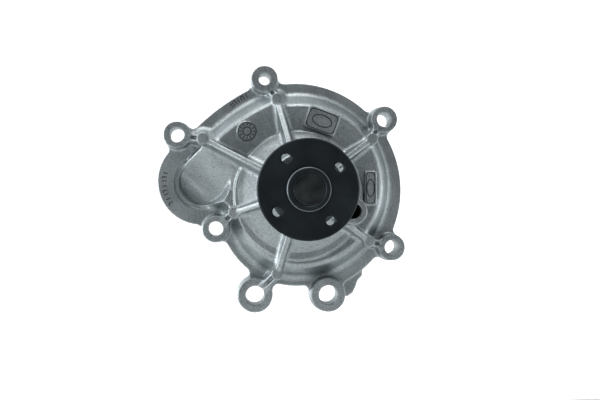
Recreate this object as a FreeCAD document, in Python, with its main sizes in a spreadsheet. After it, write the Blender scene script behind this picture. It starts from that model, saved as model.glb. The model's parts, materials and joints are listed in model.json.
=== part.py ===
"""Water pump with a pulley hub: a parametric FreeCAD document.

Frame: the origin is where the shaft axis meets the mounting face. The mounting face lies in
the XZ plane, the pump stands out towards -Y, and +Z is up. Heights are measured from the
mounting face towards the pulley, so a height of 10 is the plane Y = -10. Millimetres.
"""
import FreeCAD, Part
import math
import os

import Sketcher

Vector = FreeCAD.Vector

SIZES = {
    # outline of the mounting flange
    "rim_radius": 61.2,
    "rim_centre_z": 0.6,
    "rim_right_x": 0.5,
    "rim_right_radius": 61.5,
    "rim_top_x": -0.8,
    "rim_top_z": 1.6,
    "rim_top_radius": 61.8,
    "rim_height": 7.0,
    "scroll_radius": 131.0,
    "scroll_centre_x": 33.1,
    "scroll_centre_z": -56.3,
    "lobe_x": -55.8,
    "lobe_z": 5.1,
    "lobe_edge_z": 5.7,
    "lobe_radius": 25.5,
    "low_radius": 46.0,
    "low_centre_z": -10.0,
    "lug_margin": 0.7,
    "lug_blend": 3.5,
    # domed scroll
    "dome_radius": 53.0,
    "dome_x": 1.0,
    "dome_z": 3.0,
    "dome_scroll_radius": 123.6,
    "dome_height": 21.5,
    "dome_draft": 20.0,
    "dome_crest_round": 3.5,
    "dome_lobe_x": -42.0,
    "dome_lobe_z": 10.0,
    "dome_lobe_radius": 21.0,
    "dome_corner": 6.6,
    "dome_blend": 3.5,
    "plateau_radius": 37.2,
    "plateau_z": -3.0,
    "plateau_height": 22.5,
    "plateau_cone_radius": 34.0,
    "snout_foot_radius": 23.0,
    "snout_foot_height": 27.5,
    "snout_neck_radius": 20.6,
    "snout_neck_height": 32.0,
    "snout_radius": 20.0,
    "snout_height": 70.3,
    "snout_chamfer_radius": 19.2,
    "snout_chamfer_height": 71.1,
    # bolt bosses
    "boss_radius": 7.6,
    "boss_height": 17.0,
    "boss_hole": 4.25,
    "top_hole": 3.5,
    "low_boss_radius": 9.9,
    "low_boss_height": 15.0,
    "low_hole": 5.5,
    "low_pair_x": 21.25,
    "low_pair_centre_x": -3.55,
    "low_pair_z": -60.4,
    # ribs and ejector pads
    "rib_width": 3.4,
    "rib_root_radius": 16.0,
    "rib_root_height": 41.0,
    "rib_end_height": 23.2,
    "rib_toe_height": 13.5,
    "pad_radius": 3.4,
    "pad_height": 24.0,
    # lobe pocket
    "ledge_radius": 15.9,
    "ledge_height": 5.4,
    "pocket_radius": 12.8,
    "pocket_floor": 2.4,
    # weep boss
    "weep_x": 28.5,
    "weep_z": -11.3,
    "weep_radius": 7.1,
    "weep_height": 41.0,
    "weep_hole": 4.4,
    "weep_hole_floor": 28.6,
    "weep_drill": 1.1,
    "weep_drill_height": 30.2,
    "weep_bridge_width": 9.0,
    "weep_bridge_height": 36.0,
    "weep_filter_start": 32.0,
    "weep_filter_end": 35.0,
    # raised marks
    "label_height": 23.1,
    "dial_x": -29.7,
    "dial_z": 33.8,
    "dial_radius": 5.6,
    "dial_height": 22.3,
    # locating ear
    "ear_height": 3.6,
    # wet side
    "cavity_inset": 5.5,
    "cavity_draft": 6.0,
    "cavity_height": 18.0,
    "cavity_corner_x": -40.5,
    "cavity_corner_z": 27.5,
    "cavity_corner_blend": 10.0,
    "swirl_radius": 35.5,
    "swirl_blend": 3.5,
    "groove_x": 2.0,
    "groove_z": 2.0,
    "groove_radius": 54.17,
    "groove_lobe_radius": 20.6,
    "groove_blend": 6.0,
    "groove_width": 3.0,
    "groove_depth": 2.6,
    "gasket_width": 2.8,
    "gasket_recess": 0.05,
    "gasket_height": 2.55,
    # shaft
    "shaft_radius": 7.959,
    "shaft_start": 1.5,
    "shaft_end": 83.5,
    "shaft_chamfer": 0.6,
    # bearing
    "bearing_radius": 15.0,
    "bearing_start": 31.4,
    "bearing_end": 70.3,
    "bearing_inner": 13.0,
    "bearing_lip": 13.4,
    "bearing_lip_depth": 2.8,
    "bearing_mouth": 0.8,
    "ball_radius": 3.175,
    "ball_pitch_radius": 10.5,
    "ball_groove": 3.28,
    "ball_count": 8.0,
    "ball_rear_height": 42.0,
    "ball_front_height": 59.7,
    "cage_inner": 9.3,
    "cage_outer": 11.7,
    "cage_half_width": 4.4,
    "cage_pocket": 3.26,
    "lip_seal_inner": 8.02,
    "lip_seal_thickness": 1.8,
    "lip_seal_inset": 0.5,
    "lip_seal_edge": 1.2,
    # coolant seal
    "seal_bore": 18.25,
    "seal_shoulder": 29.0,
    "air_radius": 14.2,
    "case_outer": 18.25,
    "case_wall": 0.8,
    "case_start": 19.2,
    "case_back_inner": 10.6,
    "carbon_inner": 9.6,
    "carbon_outer": 12.4,
    "carbon_start": 21.65,
    "carbon_end": 24.2,
    "bellows_outer": 11.6,
    "bellows_fold": 13.4,
    "bellows_rim": 0.8,
    "bellows_waist": 1.4,
    "bellows_end": 28.2,
    "washer_outer": 16.6,
    "washer_thickness": 0.6,
    "spring_radius": 15.4,
    "spring_wire": 0.45,
    "spring_start": 25.35,
    "spring_pitch": 1.15,
    "spring_turns": 2.0,
    "mating_outer": 13.2,
    "mating_end": 21.6,
    "mating_start": 19.0,
    "mating_inner": 10.2,
    "sleeve_outer": 8.9,
    "sleeve_end": 27.6,
    "slinger_outer": 12.6,
    "slinger_start": 29.7,
    "slinger_end": 30.8,
    # impeller
    "impeller_radius": 33.0,
    "impeller_back": 17.0,
    "impeller_disc": 2.4,
    "impeller_hub": 13.0,
    "impeller_hub_start": 3.5,
    "impeller_hub_end": 18.4,
    "impeller_hub_chamfer": 0.6,
    "impeller_bore": 9.6,
    "vane_start": 3.0,
    "vane_thickness": 2.2,
    "vane_arc": 26.0,
    "vane_centre_z": 21.32,
    "vane_root": 12.0,
    "vane_tip": 32.5,
    "vane_count": 7.0,
    "bush_start": 2.5,
    "bush_end": 18.4,
    # pulley hub
    "hub_sleeve": 12.0,
    "hub_sleeve_start": 72.2,
    "hub_back": 75.0,
    "hub_front": 80.0,
    "hub_radius": 26.0,
    "hub_chamfer": 0.6,
    "spigot_radius": 11.2,
    "spigot_end": 84.0,
    "spigot_chamfer": 0.7,
    "spigot_counterbore": 8.9,
    "spigot_counterbore_depth": 1.0,
    "hub_hole": 2.5,
    "hub_hole_mouth": 3.1,
    "hub_hole_pitch": 19.25,
    "hub_hole_angle": 35.6,
    "hub_hole_count": 4.0,
}

doc = FreeCAD.newDocument("water_pump")
sheet = doc.addObject("Spreadsheet::Sheet", "sizes")
for row, (alias, value) in enumerate(SIZES.items(), start=1):
    sheet.set(f"A{row}", alias)
    sheet.set(f"B{row}", str(value))
    sheet.setAlias(f"B{row}", alias)
doc.recompute()

FULL_TURN = 2.0 * math.pi
SMALLEST_CUT = 0.01
nodes = []


def size(alias):
    """The number that a sheet cell holds."""
    return float(getattr(sheet, alias))


def term(value):
    """An expression for a sheet alias, or for an (alias, offset) pair, or for a plain number."""
    if isinstance(value, str):
        return f"sizes.{value}"
    if isinstance(value, tuple):
        return f"sizes.{value[0]} + ({value[1]})"
    return str(value)


def number(value):
    """The number behind what term() writes as an expression."""
    if isinstance(value, str):
        return size(value)
    if isinstance(value, tuple):
        return size(value[0]) + value[1]
    return float(value)


# ---------------------------------------------------------------- bodies and sketches

def new_body(label):
    """A PartDesign body that is one node of the pump."""
    body = doc.addObject("PartDesign::Body", label)
    body.Label = label
    body.Placement = FreeCAD.Placement()
    nodes.append(body)
    return body


def plane_of(body, role):
    """One of the body's own origin planes."""
    return next(item for item in body.Origin.OriginFeatures if item.Role == role)


def face_sketch(body, name, height=0):
    """A sketch parallel to the mounting face; its x is X and its y is Z."""
    sketch = body.newObject("Sketcher::SketchObject", name)
    sketch.AttachmentSupport = [(plane_of(body, "XZ_Plane"), "")]
    sketch.MapMode = "FlatFace"
    if height:
        sketch.setExpression("AttachmentOffset.Base.z", term(height))
    return sketch


def side_sketch(body, name, angle=0.0, x=0.0, z=0.0):
    """A sketch square to the mounting face; its x points along the angle, its y is Y."""
    sketch = body.newObject("Sketcher::SketchObject", name)
    sketch.AttachmentSupport = [(plane_of(body, "XY_Plane"), "")]
    sketch.MapMode = "FlatFace"
    turn = FreeCAD.Rotation(Vector(0, 1, 0), -angle)
    sketch.AttachmentOffset = FreeCAD.Placement(Vector(x, 0, z), turn)
    return sketch


def draw_circle(sketch, x, z, radius):
    """A circle whose centre and radius are bound to the sheet."""
    index = sketch.addGeometry(
        Part.Circle(Vector(number(x), number(z), 0), Vector(0, 0, 1), number(radius)), False)
    fix_point(sketch, index, 3, x, z)
    bind(sketch, Sketcher.Constraint("Radius", index, number(radius)), term(radius))
    return index


def bind(sketch, constraint, expression):
    """Add a constraint and drive it from the sheet."""
    row = sketch.addConstraint(constraint)
    sketch.setExpression(f"Constraints[{row}]", expression)


def fix_point(sketch, index, point, x, y):
    """Tie a point of the sketch to its two distances from the origin."""
    for kind, value, axis in (("DistanceX", x, -2), ("DistanceY", y, -1)):
        if number(value) == 0.0:
            sketch.addConstraint(Sketcher.Constraint("PointOnObject", index, point, axis))
        else:
            rule = Sketcher.Constraint(kind, -1, 1, index, point, number(value))
            bind(sketch, rule, term(value))


def draw_profile(sketch, corners):
    """A closed outline of straight lines through (radius, height) corners, all from the sheet."""
    points = [Vector(number(r), -number(h), 0) for r, h in corners]
    count = len(points)
    for i in range(count):
        sketch.addGeometry(Part.LineSegment(points[i], points[(i + 1) % count]), False)
    for i in range(count):
        sketch.addConstraint(Sketcher.Constraint("Coincident", i, 2, (i + 1) % count, 1))
    for i, (radius, height) in enumerate(corners):
        if number(radius) == 0.0:
            sketch.addConstraint(Sketcher.Constraint("PointOnObject", i, 1, -2))
        else:
            rule = Sketcher.Constraint("DistanceX", -1, 1, i, 1, number(radius))
            bind(sketch, rule, term(radius))
        if number(height) == 0.0:
            sketch.addConstraint(Sketcher.Constraint("PointOnObject", i, 1, -1))
        else:
            rule = Sketcher.Constraint("DistanceY", -1, 1, i, 1, -number(height))
            bind(sketch, rule, f"-({term(height)})")


def draw_polygon(sketch, corners):
    """A closed outline of straight lines through plain (x, y) points."""
    count = len(corners)
    for i in range(count):
        start = Vector(*corners[i], 0)
        end = Vector(*corners[(i + 1) % count], 0)
        sketch.addGeometry(Part.LineSegment(start, end), False)
        sketch.addConstraint(Sketcher.Constraint("Block", i))


# ---------------------------------------------------------------- features

def pad(body, sketch, length, name, draft=None, both_ways=False):
    """Raise a sketch by a length."""
    feature = body.newObject("PartDesign::Pad", name)
    feature.Profile = sketch
    feature.Length = number(length)
    if not isinstance(length, (int, float)):
        feature.setExpression("Length", term(length))
    if draft:
        feature.setExpression("TaperAngle", f"-sizes.{draft}")
    if both_ways:
        feature.Midplane = True
    return feature


def raise_to(body, sketch, start, end, name, draft=None):
    """Raise a sketch that lies at one height up to another height."""
    feature = pad(body, sketch, number(end) - number(start), name, draft)
    feature.setExpression("Length", f"{term(end)} - ({term(start)})")
    return feature


def checked_cut(feature):
    """Recompute and make sure that the cut took material away."""
    doc.recompute()
    if feature.Shape.isNull():
        raise RuntimeError(f"{feature.Label} failed")
    before = feature.BaseFeature.Shape.Volume
    after = feature.Shape.Volume
    if after > before - SMALLEST_CUT:
        raise RuntimeError(f"{feature.Label} cut nothing ({before:.1f} to {after:.1f})")


def cut_down(body, sketch, depth, name, draft=None, reversed_way=True):
    """Cut a sketch into the body, away from the mounting face."""
    feature = body.newObject("PartDesign::Pocket", name)
    feature.Profile = sketch
    feature.Length = number(depth)
    if not isinstance(depth, (int, float)):
        feature.setExpression("Length", term(depth))
    feature.Reversed = reversed_way
    if draft:
        feature.setExpression("TaperAngle", f"-sizes.{draft}")
    checked_cut(feature)
    return feature


def cut_both_ways(body, sketch, width, name):
    """Cut a side profile symmetrically about its plane."""
    feature = body.newObject("PartDesign::Pocket", name)
    feature.Profile = sketch
    feature.Length = width
    feature.Midplane = True
    checked_cut(feature)
    return feature


def turn(body, corners, name, removes=False):
    """Revolve a (radius, height) outline about the shaft axis."""
    sketch = side_sketch(body, f"{name}_profile")
    draw_profile(sketch, corners)
    kind = "PartDesign::Groove" if removes else "PartDesign::Revolution"
    feature = body.newObject(kind, name)
    feature.Profile = sketch
    feature.ReferenceAxis = (sketch, ["V_Axis"])
    feature.Angle = 360.0
    if removes:
        checked_cut(feature)
    return feature


def repeat(body, feature, count, name):
    """Repeat a feature around the shaft axis."""
    pattern = body.newObject("PartDesign::PolarPattern", name)
    pattern.Originals = [feature]
    axis = next(item for item in body.Origin.OriginFeatures if item.Role == "Y_Axis")
    pattern.Axis = (axis, [""])
    pattern.Angle = 360.0
    pattern.Occurrences = int(size(count))
    pattern.setExpression("Occurrences", f"sizes.{count}")
    body.Tip = pattern
    return pattern


def turned_ring(label, corners):
    """A body that is one revolved outline."""
    body = new_body(label)
    turn(body, corners, f"{label}_turn")
    return body


# ---------------------------------------------------------------- outlines of blended circles

def join_circles(first, second, blend):
    """Where an outline leaves one circle and reaches the next, and the blend's centre."""
    x1, z1, r1 = first
    x2, z2, r2 = second
    span = math.hypot(x2 - x1, z2 - z1)
    ux = (x2 - x1) / span
    uz = (z2 - z1) / span
    if blend == 0.0:
        side = 1.0 if r1 > r2 else -1.0
        touch = (x1 + side * ux * r1, z1 + side * uz * r1)
        return touch, touch, None
    a = r1 + blend
    b = r2 + blend
    along = (a * a - b * b + span * span) / (2.0 * span)
    across = math.sqrt(a * a - along * along)
    centre = (x1 + along * ux + across * uz, z1 + along * uz - across * ux)
    leave = (x1 + (centre[0] - x1) * r1 / a, z1 + (centre[1] - z1) * r1 / a)
    reach = (x2 + (centre[0] - x2) * r2 / b, z2 + (centre[1] - z2) * r2 / b)
    return leave, reach, centre


def arc_between(centre, radius, start, end):
    """The counter-clockwise arc about a centre from one point to another."""
    a0 = math.atan2(start[1] - centre[1], start[0] - centre[0])
    a1 = math.atan2(end[1] - centre[1], end[0] - centre[0])
    if a1 <= a0:
        a1 += FULL_TURN
    circle = Part.Circle(Vector(centre[0], centre[1], 0), Vector(0, 0, 1), radius)
    return Part.ArcOfCircle(circle, a0, a1)


def draw_blended(sketch, circles, blends):
    """A closed outline that follows each circle in turn; blends[i] joins circle i to the next."""
    count = len(circles)
    joints = [join_circles(circles[i], circles[(i + 1) % count], blends[i]) for i in range(count)]
    arcs = []
    for i, (x, z, radius) in enumerate(circles):
        arcs.append(arc_between((x, z), radius, joints[i - 1][1], joints[i][0]))
        if joints[i][2] is not None:
            arcs.append(arc_between(joints[i][2], blends[i], joints[i][1], joints[i][0]))
    for arc in arcs:
        index = sketch.addGeometry(arc, False)
        sketch.addConstraint(Sketcher.Constraint("Block", index))


def tangent_radius(outer_centre, inner):
    """Radius of the circle about a centre that just encloses another circle."""
    x, z, radius = inner
    return radius + math.hypot(outer_centre[0] - x, outer_centre[1] - z)


def grown(circles, blends, margin):
    """The same outline moved outwards by a margin."""
    wide = [(x, z, radius + margin) for x, z, radius in circles]
    return wide, [blend - margin if blend else 0.0 for blend in blends]


# ---------------------------------------------------------------- shared places

SCROLL = (size("scroll_centre_x"), size("scroll_centre_z"))
LOW = (0.0, size("low_centre_z"))
LOBE = (size("lobe_x"), size("lobe_z"))
LOW_LEFT = (size("low_pair_centre_x") - size("low_pair_x"), size("low_pair_z"))
LOW_RIGHT = (size("low_pair_centre_x") + size("low_pair_x"), size("low_pair_z"))

# bolt bosses: name, centre, hole
SMALL_BOSSES = {
    "top": ((-19.5, 64.4), "top_hole"),
    "left": ((-69.6, 32.0), "boss_hole"),
    "upper_right": ((50.2, 41.6), "boss_hole"),
    "lower_right": ((54.7, -32.9), "boss_hole"),
    "lower_left": ((-47.5, -21.9), "boss_hole"),
}
LARGE_BOSSES = {"foot_left": LOW_LEFT, "foot_right": LOW_RIGHT}

# ejector pads at the rib ends, with the boss that each rib runs on to
RIB_PADS = {
    "top": ((-12.6, 52.3), SMALL_BOSSES["top"][0]),
    "left": ((-54.7, 29.4), SMALL_BOSSES["left"][0]),
    "upper_right": ((42.0, 29.7), SMALL_BOSSES["upper_right"][0]),
    "lower_right": ((40.3, -29.0), SMALL_BOSSES["lower_right"][0]),
    "lower_left": ((-37.0, -12.5), SMALL_BOSSES["lower_left"][0]),
    "foot_left": ((-12.5, -47.4), LOW_LEFT),
}
RIB_ANGLES = {
    name: math.degrees(math.atan2(place[1], place[0])) for name, (place, boss) in RIB_PADS.items()}

# the ramp over the outlet duct falls away square to the left rib
RAMP_ANGLE = RIB_ANGLES["left"] + 90.0
RAMP_START = 1.5
RAMP_TOP = 14.5
RAMP_BEND = (13.5, 7.5)
RAMP_FOOT = (25.0, 2.4)
RAMP_MIDDLE_RADIUS = 49.0
RAMP_WIDTH = 26.0
CLEARING_MIDDLE_RADIUS = 58.0
CLEARING_WIDTH = 37.0
DUCT_MIDDLE_RADIUS = 45.0
DUCT_WIDTH = 24.0
DUCT_WALL = 3.2
DUCT_END = 16.0

# raised fields on the dome, and how deep their roots go into it
LABEL_FIELDS = {
    "upper_label": [(2.6, 37.3), (19.3, 31.4), (24.1, 43.0), (6.3, 48.1)],
    "right_label": [(37.6, -8.0), (44.6, -8.0), (44.6, 11.3), (37.6, 11.3)],
}
MARK_ROOT = 1.5

# the locating ear at the lower right of the flange
EAR_OUTLINE = [
    (22.0, -52.0), (27.0, -61.5), (30.3, -62.9), (33.6, -60.6),
    (35.6, -56.5), (36.6, -53.4), (39.3, -50.4), (39.8, -45.0)]

# how deep ribs, links and pads are rooted in the casting below them
RIB_DOME_ROOT = 2.0
RIB_PLATE_ROOT = 1.0
RIB_FOOT_SLOPE = (5.0, 1.0)
LINK_BOSS_ROOT = 1.0
LINK_DROP = 2.0

ABOVE_ALL = 40.0
SEAL_CUT_START = 10.0


def on_left_rib(radius):
    """The point of the left rib's line at a radius from the shaft axis."""
    angle = math.radians(RIB_ANGLES["left"])
    return radius * math.cos(angle), radius * math.sin(angle)


# ---------------------------------------------------------------- pump housing

def flange_outline():
    """The circles that the mounting flange's edge follows, counter-clockwise from the right."""
    rim = (0.0, size("rim_centre_z"), size("rim_radius"))
    right = (size("rim_right_x"), size("rim_centre_z"), size("rim_right_radius"))
    top = (size("rim_top_x"), size("rim_top_z"), size("rim_top_radius"))
    scroll = (*SCROLL, size("scroll_radius"))
    low = (*LOW, size("low_radius"))
    margin = size("lug_margin")
    lug = {name: (*place, size("boss_radius") + margin) for name, (place, hole) in SMALL_BOSSES.items()}
    foot = {name: (*place, size("low_boss_radius") + margin) for name, place in LARGE_BOSSES.items()}
    circles = [
        right, lug["upper_right"], top, lug["top"], scroll, lug["left"],
        (LOBE[0], size("lobe_edge_z"), size("lobe_radius")), lug["lower_left"], low,
        foot["foot_left"], low,
        foot["foot_right"], rim, lug["lower_right"]]
    return circles, [size("lug_blend")] * len(circles)


def dome_outline(inset):
    """The foot of the domed scroll, or the same moved inwards."""
    main = (size("dome_x"), size("dome_z"), size("dome_radius") - inset)
    low = (*LOW, main[2] - math.hypot(main[0] - LOW[0], main[1] - LOW[1]))
    return main, low


def build_plate_and_dome(body):
    """The flat mounting flange and the drafted dome on it."""
    plate = face_sketch(body, "flange_outline")
    draw_blended(plate, *flange_outline())
    pad(body, plate, "rim_height", "flange_plate")
    main, low = dome_outline(0.0)
    corner = size("dome_corner")
    circles = [
        main,
        (*RIB_PADS["top"][0], corner),
        (*SCROLL, size("dome_scroll_radius")),
        (*RIB_PADS["left"][0], corner),
        (size("dome_lobe_x"), size("dome_lobe_z"), size("dome_lobe_radius")),
        (*RIB_PADS["lower_left"][0], corner),
        low]
    blend = size("dome_blend")
    dome = face_sketch(body, "dome_outline", "rim_height")
    draw_blended(dome, circles, [blend] * 6 + [0.0])
    raised = raise_to(body, dome, "rim_height", "dome_height", "dome", draft="dome_draft")
    doc.recompute()
    round_top(body, raised, "dome_height", "dome_crest_round", "dome_crest")


def round_top(body, feature, height, radius, name):
    """Round every edge of a feature that lies in the plane of its top."""
    level = -size(height)
    edges = []
    for i, edge in enumerate(feature.Shape.Edges, start=1):
        box = edge.BoundBox
        if abs(box.YMin - level) < 0.001 and abs(box.YMax - level) < 0.001:
            edges.append(f"Edge{i}")
    fillet = body.newObject("PartDesign::Fillet", name)
    fillet.Base = (feature, edges)
    fillet.Radius = size(radius)
    fillet.setExpression("Radius", f"sizes.{radius}")


def build_lobe(body):
    """The stepped pocket in the lobe and the ramp that runs into it."""
    clear = side_sketch(
        body, "ramp_clearing", RAMP_ANGLE, *on_left_rib(CLEARING_MIDDLE_RADIUS))
    rim = size("rim_height")
    draw_polygon(clear, [
        (RAMP_START, -RAMP_TOP), ramp_corner(rim), (ABOVE_ALL, -rim),
        (ABOVE_ALL, -ABOVE_ALL), (RAMP_START, -ABOVE_ALL)])
    cut_both_ways(body, clear, CLEARING_WIDTH, "ramp_clearing_cut")
    for name, radius, floor in (
            ("ledge", "ledge_radius", "ledge_height"),
            ("pocket", "pocket_radius", "pocket_floor")):
        sketch = face_sketch(body, f"{name}_circle", floor)
        draw_circle(sketch, "lobe_x", "lobe_z", radius)
        cut_down(body, sketch, ABOVE_ALL, name)
    fill = side_sketch(body, "ramp_outline", RAMP_ANGLE, *on_left_rib(RAMP_MIDDLE_RADIUS))
    draw_polygon(fill, [
        (0.0, 0.0), (0.0, -RAMP_TOP), (RAMP_START, -RAMP_TOP),
        (RAMP_BEND[0], -RAMP_BEND[1]), (RAMP_FOOT[0], -RAMP_FOOT[1]), (RAMP_FOOT[0], 0.0)])
    pad(body, fill, RAMP_WIDTH, "ramp", both_ways=True)


def ramp_corner(level):
    """Where the ramp comes down to a level, as a sketch point."""
    share = (RAMP_TOP - level) / (RAMP_TOP - RAMP_BEND[1])
    return RAMP_START + share * (RAMP_BEND[0] - RAMP_START), -level


def build_snout(body):
    """The plateau round the shaft and the bearing snout that rises from it."""
    disc = face_sketch(body, "plateau_circle")
    draw_circle(disc, 0.0, "plateau_z", "plateau_radius")
    pad(body, disc, "plateau_height", "plateau")
    turn(body, [
        (0.0, "cavity_height"),
        ("plateau_cone_radius", "cavity_height"),
        ("plateau_cone_radius", "plateau_height"),
        ("snout_foot_radius", "snout_foot_height"),
        ("snout_neck_radius", "snout_neck_height"),
        ("snout_radius", "snout_height"),
        ("snout_chamfer_radius", "snout_chamfer_height"),
        (0.0, "snout_chamfer_height")], "snout")


def build_ribs(body):
    """Six ribs from the snout to the ejector pads, and on to the bosses."""
    floor = size("rim_height") - RIB_PLATE_ROOT
    foot = size("dome_height") - RIB_DOME_ROOT
    for name, ((x, z), boss) in RIB_PADS.items():
        reach = math.hypot(x, z)
        rib = side_sketch(body, f"rib_{name}_side", RIB_ANGLES[name])
        draw_polygon(rib, [
            (size("rib_root_radius"), -foot),
            (reach - RIB_FOOT_SLOPE[0], -foot),
            (reach - RIB_FOOT_SLOPE[1], -floor),
            (reach, -floor),
            (reach, -size("rib_end_height")),
            (size("rib_root_radius"), -size("rib_root_height"))])
        pad(body, rib, "rib_width", f"rib_{name}", both_ways=True)
        gap = math.hypot(boss[0] - x, boss[1] - z)
        angle = math.degrees(math.atan2(boss[1] - z, boss[0] - x))
        link = side_sketch(body, f"link_{name}_side", angle, x, z)
        near = gap - size("boss_radius") + LINK_BOSS_ROOT
        draw_polygon(link, [
            (0.0, -floor), (near, -floor), (near, -size("rib_toe_height")),
            (0.0, -size("rib_end_height") + LINK_DROP)])
        pad(body, link, "rib_width", f"link_{name}", both_ways=True)
        post = face_sketch(body, f"pad_{name}_circle", ("rim_height", -RIB_PLATE_ROOT))
        draw_circle(post, x, z, "pad_radius")
        raise_to(body, post, ("rim_height", -RIB_PLATE_ROOT), "pad_height", f"pad_{name}")


def build_bosses(body):
    """The bolt bosses, without their holes."""
    for name, ((x, z), hole) in SMALL_BOSSES.items():
        sketch = face_sketch(body, f"boss_{name}_circle")
        draw_circle(sketch, x, z, "boss_radius")
        pad(body, sketch, "boss_height", f"boss_{name}")
    for name, (x, z) in LARGE_BOSSES.items():
        sketch = face_sketch(body, f"boss_{name}_circle")
        draw_circle(sketch, x, z, "low_boss_radius")
        pad(body, sketch, "low_boss_height", f"boss_{name}")


def build_weep_boss(body):
    """The boss of the weep hole and its bridge to the snout."""
    base = size("cavity_height")
    sketch = face_sketch(body, "weep_circle", "cavity_height")
    draw_circle(sketch, "weep_x", "weep_z", "weep_radius")
    raise_to(body, sketch, "cavity_height", "weep_height", "weep_boss")
    angle = math.degrees(math.atan2(size("weep_z"), size("weep_x")))
    reach = math.hypot(size("weep_x"), size("weep_z"))
    bridge = side_sketch(body, "weep_bridge_side", angle)
    draw_polygon(bridge, [
        (size("rib_root_radius"), -base), (reach, -base),
        (reach, -size("weep_bridge_height")), (size("rib_root_radius"), -size("weep_bridge_height"))])
    pad(body, bridge, "weep_bridge_width", "weep_bridge", both_ways=True)


def build_marks(body):
    """Raised label fields, the casting dial and the locating ear."""
    start = ("dome_height", -MARK_ROOT)
    for name, corners in LABEL_FIELDS.items():
        sketch = face_sketch(body, f"{name}_outline", start)
        draw_polygon(sketch, corners)
        raise_to(body, sketch, start, "label_height", name)
    dial = face_sketch(body, "dial_circle", start)
    draw_circle(dial, "dial_x", "dial_z", "dial_radius")
    raise_to(body, dial, start, "dial_height", "dial")
    ear = face_sketch(body, "ear_outline")
    draw_polygon(ear, EAR_OUTLINE)
    pad(body, ear, "ear_height", "ear")


def cut_wet_side(body):
    """The scroll cavity, the outlet duct under the ramp and the gasket groove."""
    main, low = dome_outline(size("cavity_inset"))
    scroll = (*SCROLL, tangent_radius(SCROLL, main))
    corner_x = size("cavity_corner_x")
    corner_z = size("cavity_corner_z")
    corner_r = scroll[2] - math.hypot(SCROLL[0] - corner_x, SCROLL[1] - corner_z)
    swirl = (0.0, 0.0, size("swirl_radius"))
    cavity = face_sketch(body, "cavity_outline")
    draw_blended(
        cavity, [main, scroll, (corner_x, corner_z, corner_r), swirl, low],
        [0.0, 0.0, size("cavity_corner_blend"), size("swirl_blend"), 0.0])
    cut_down(body, cavity, "cavity_height", "scroll_cavity", draft="cavity_draft")

    x, z = on_left_rib(DUCT_MIDDLE_RADIUS)
    duct = side_sketch(body, "duct_outline", RAMP_ANGLE, x, z)
    fall = (RAMP_TOP - RAMP_BEND[1]) / (RAMP_BEND[0] - RAMP_START)
    start = RAMP_START + 1.0
    draw_polygon(duct, [
        (start, 1.0), (start, -RAMP_TOP + DUCT_WALL + fall),
        (DUCT_END, -RAMP_TOP + DUCT_WALL + fall * (DUCT_END - RAMP_START)), (DUCT_END, 1.0)])
    cut_both_ways(body, duct, DUCT_WIDTH, "outlet_duct")

    groove = face_sketch(body, "groove_outline")
    draw_seal_path(groove, size("groove_width"))
    cut_down(body, groove, "groove_depth", "gasket_groove")


def draw_seal_path(sketch, width):
    """Both edges of the gasket's closed path."""
    main = (size("groove_x"), size("groove_z"), size("groove_radius"))
    low = (*LOW, main[2] - math.hypot(main[0] - LOW[0], main[1] - LOW[1]))
    scroll = (*SCROLL, tangent_radius(SCROLL, main))
    circles = [main, scroll, (*LOBE, size("groove_lobe_radius")), low]
    blends = [0.0, size("groove_blend"), size("groove_blend"), 0.0]
    for margin in (0.5 * width, -0.5 * width):
        draw_blended(sketch, *grown(circles, blends, margin))


def cut_bores(body):
    """The seal bore, the bearing bore, the bolt holes and the weep passage."""
    mouth = ("bearing_radius", size("bearing_mouth"))
    turn(body, [
        (0.0, SEAL_CUT_START),
        ("seal_bore", SEAL_CUT_START),
        ("seal_bore", "seal_shoulder"),
        ("air_radius", "seal_shoulder"),
        ("air_radius", "bearing_start"),
        ("bearing_radius", "bearing_start"),
        ("bearing_radius", "bearing_end"),
        (mouth, "snout_chamfer_height"),
        (mouth, ("snout_chamfer_height", 1.0)),
        (0.0, ("snout_chamfer_height", 1.0))], "main_bore", removes=True)
    for name, ((x, z), hole) in SMALL_BOSSES.items():
        sketch = face_sketch(body, f"hole_{name}_circle")
        draw_circle(sketch, x, z, hole)
        cut_down(body, sketch, ("boss_height", 1.0), f"hole_{name}")
    for name, (x, z) in LARGE_BOSSES.items():
        sketch = face_sketch(body, f"hole_{name}_circle")
        draw_circle(sketch, x, z, "low_hole")
        cut_down(body, sketch, ("boss_height", 1.0), f"hole_{name}")
    weep = face_sketch(body, "weep_hole_circle", "weep_hole_floor")
    draw_circle(weep, "weep_x", "weep_z", "weep_hole")
    cut_down(body, weep, ABOVE_ALL, "weep_hole_cut")
    cut_weep_drilling(body)


def cut_weep_drilling(body):
    """The drilling from the air chamber behind the bearing to the weep hole."""
    angle = math.degrees(math.atan2(size("weep_z"), size("weep_x")))
    reach = math.hypot(size("weep_x"), size("weep_z"))
    sketch = body.newObject("Sketcher::SketchObject", "weep_drill_circle")
    turned = FreeCAD.Rotation(Vector(0, 1, 0), -angle)
    facing = FreeCAD.Rotation(Vector(0, 1, 0), 90)
    sketch.Placement = FreeCAD.Placement(Vector(), turned.multiply(facing))
    draw_circle(sketch, 0.0, -size("weep_drill_height"), "weep_drill")
    feature = body.newObject("PartDesign::Pocket", "weep_drilling")
    feature.Profile = sketch
    feature.Length = reach
    feature.Reversed = True
    checked_cut(feature)


def build_housing():
    """The die-cast body of the pump."""
    body = new_body("pump_housing")
    build_plate_and_dome(body)
    build_lobe(body)
    build_snout(body)
    build_ribs(body)
    build_bosses(body)
    build_weep_boss(body)
    build_marks(body)
    doc.recompute()
    cut_wet_side(body)
    cut_bores(body)


# ---------------------------------------------------------------- body gasket and weep filter

def build_gasket():
    """The moulded ring that lies in the groove of the mounting face."""
    body = new_body("body_gasket")
    sketch = face_sketch(body, "gasket_outline", "gasket_recess")
    draw_seal_path(sketch, size("gasket_width"))
    raise_to(body, sketch, "gasket_recess", "gasket_height", "gasket")


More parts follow.
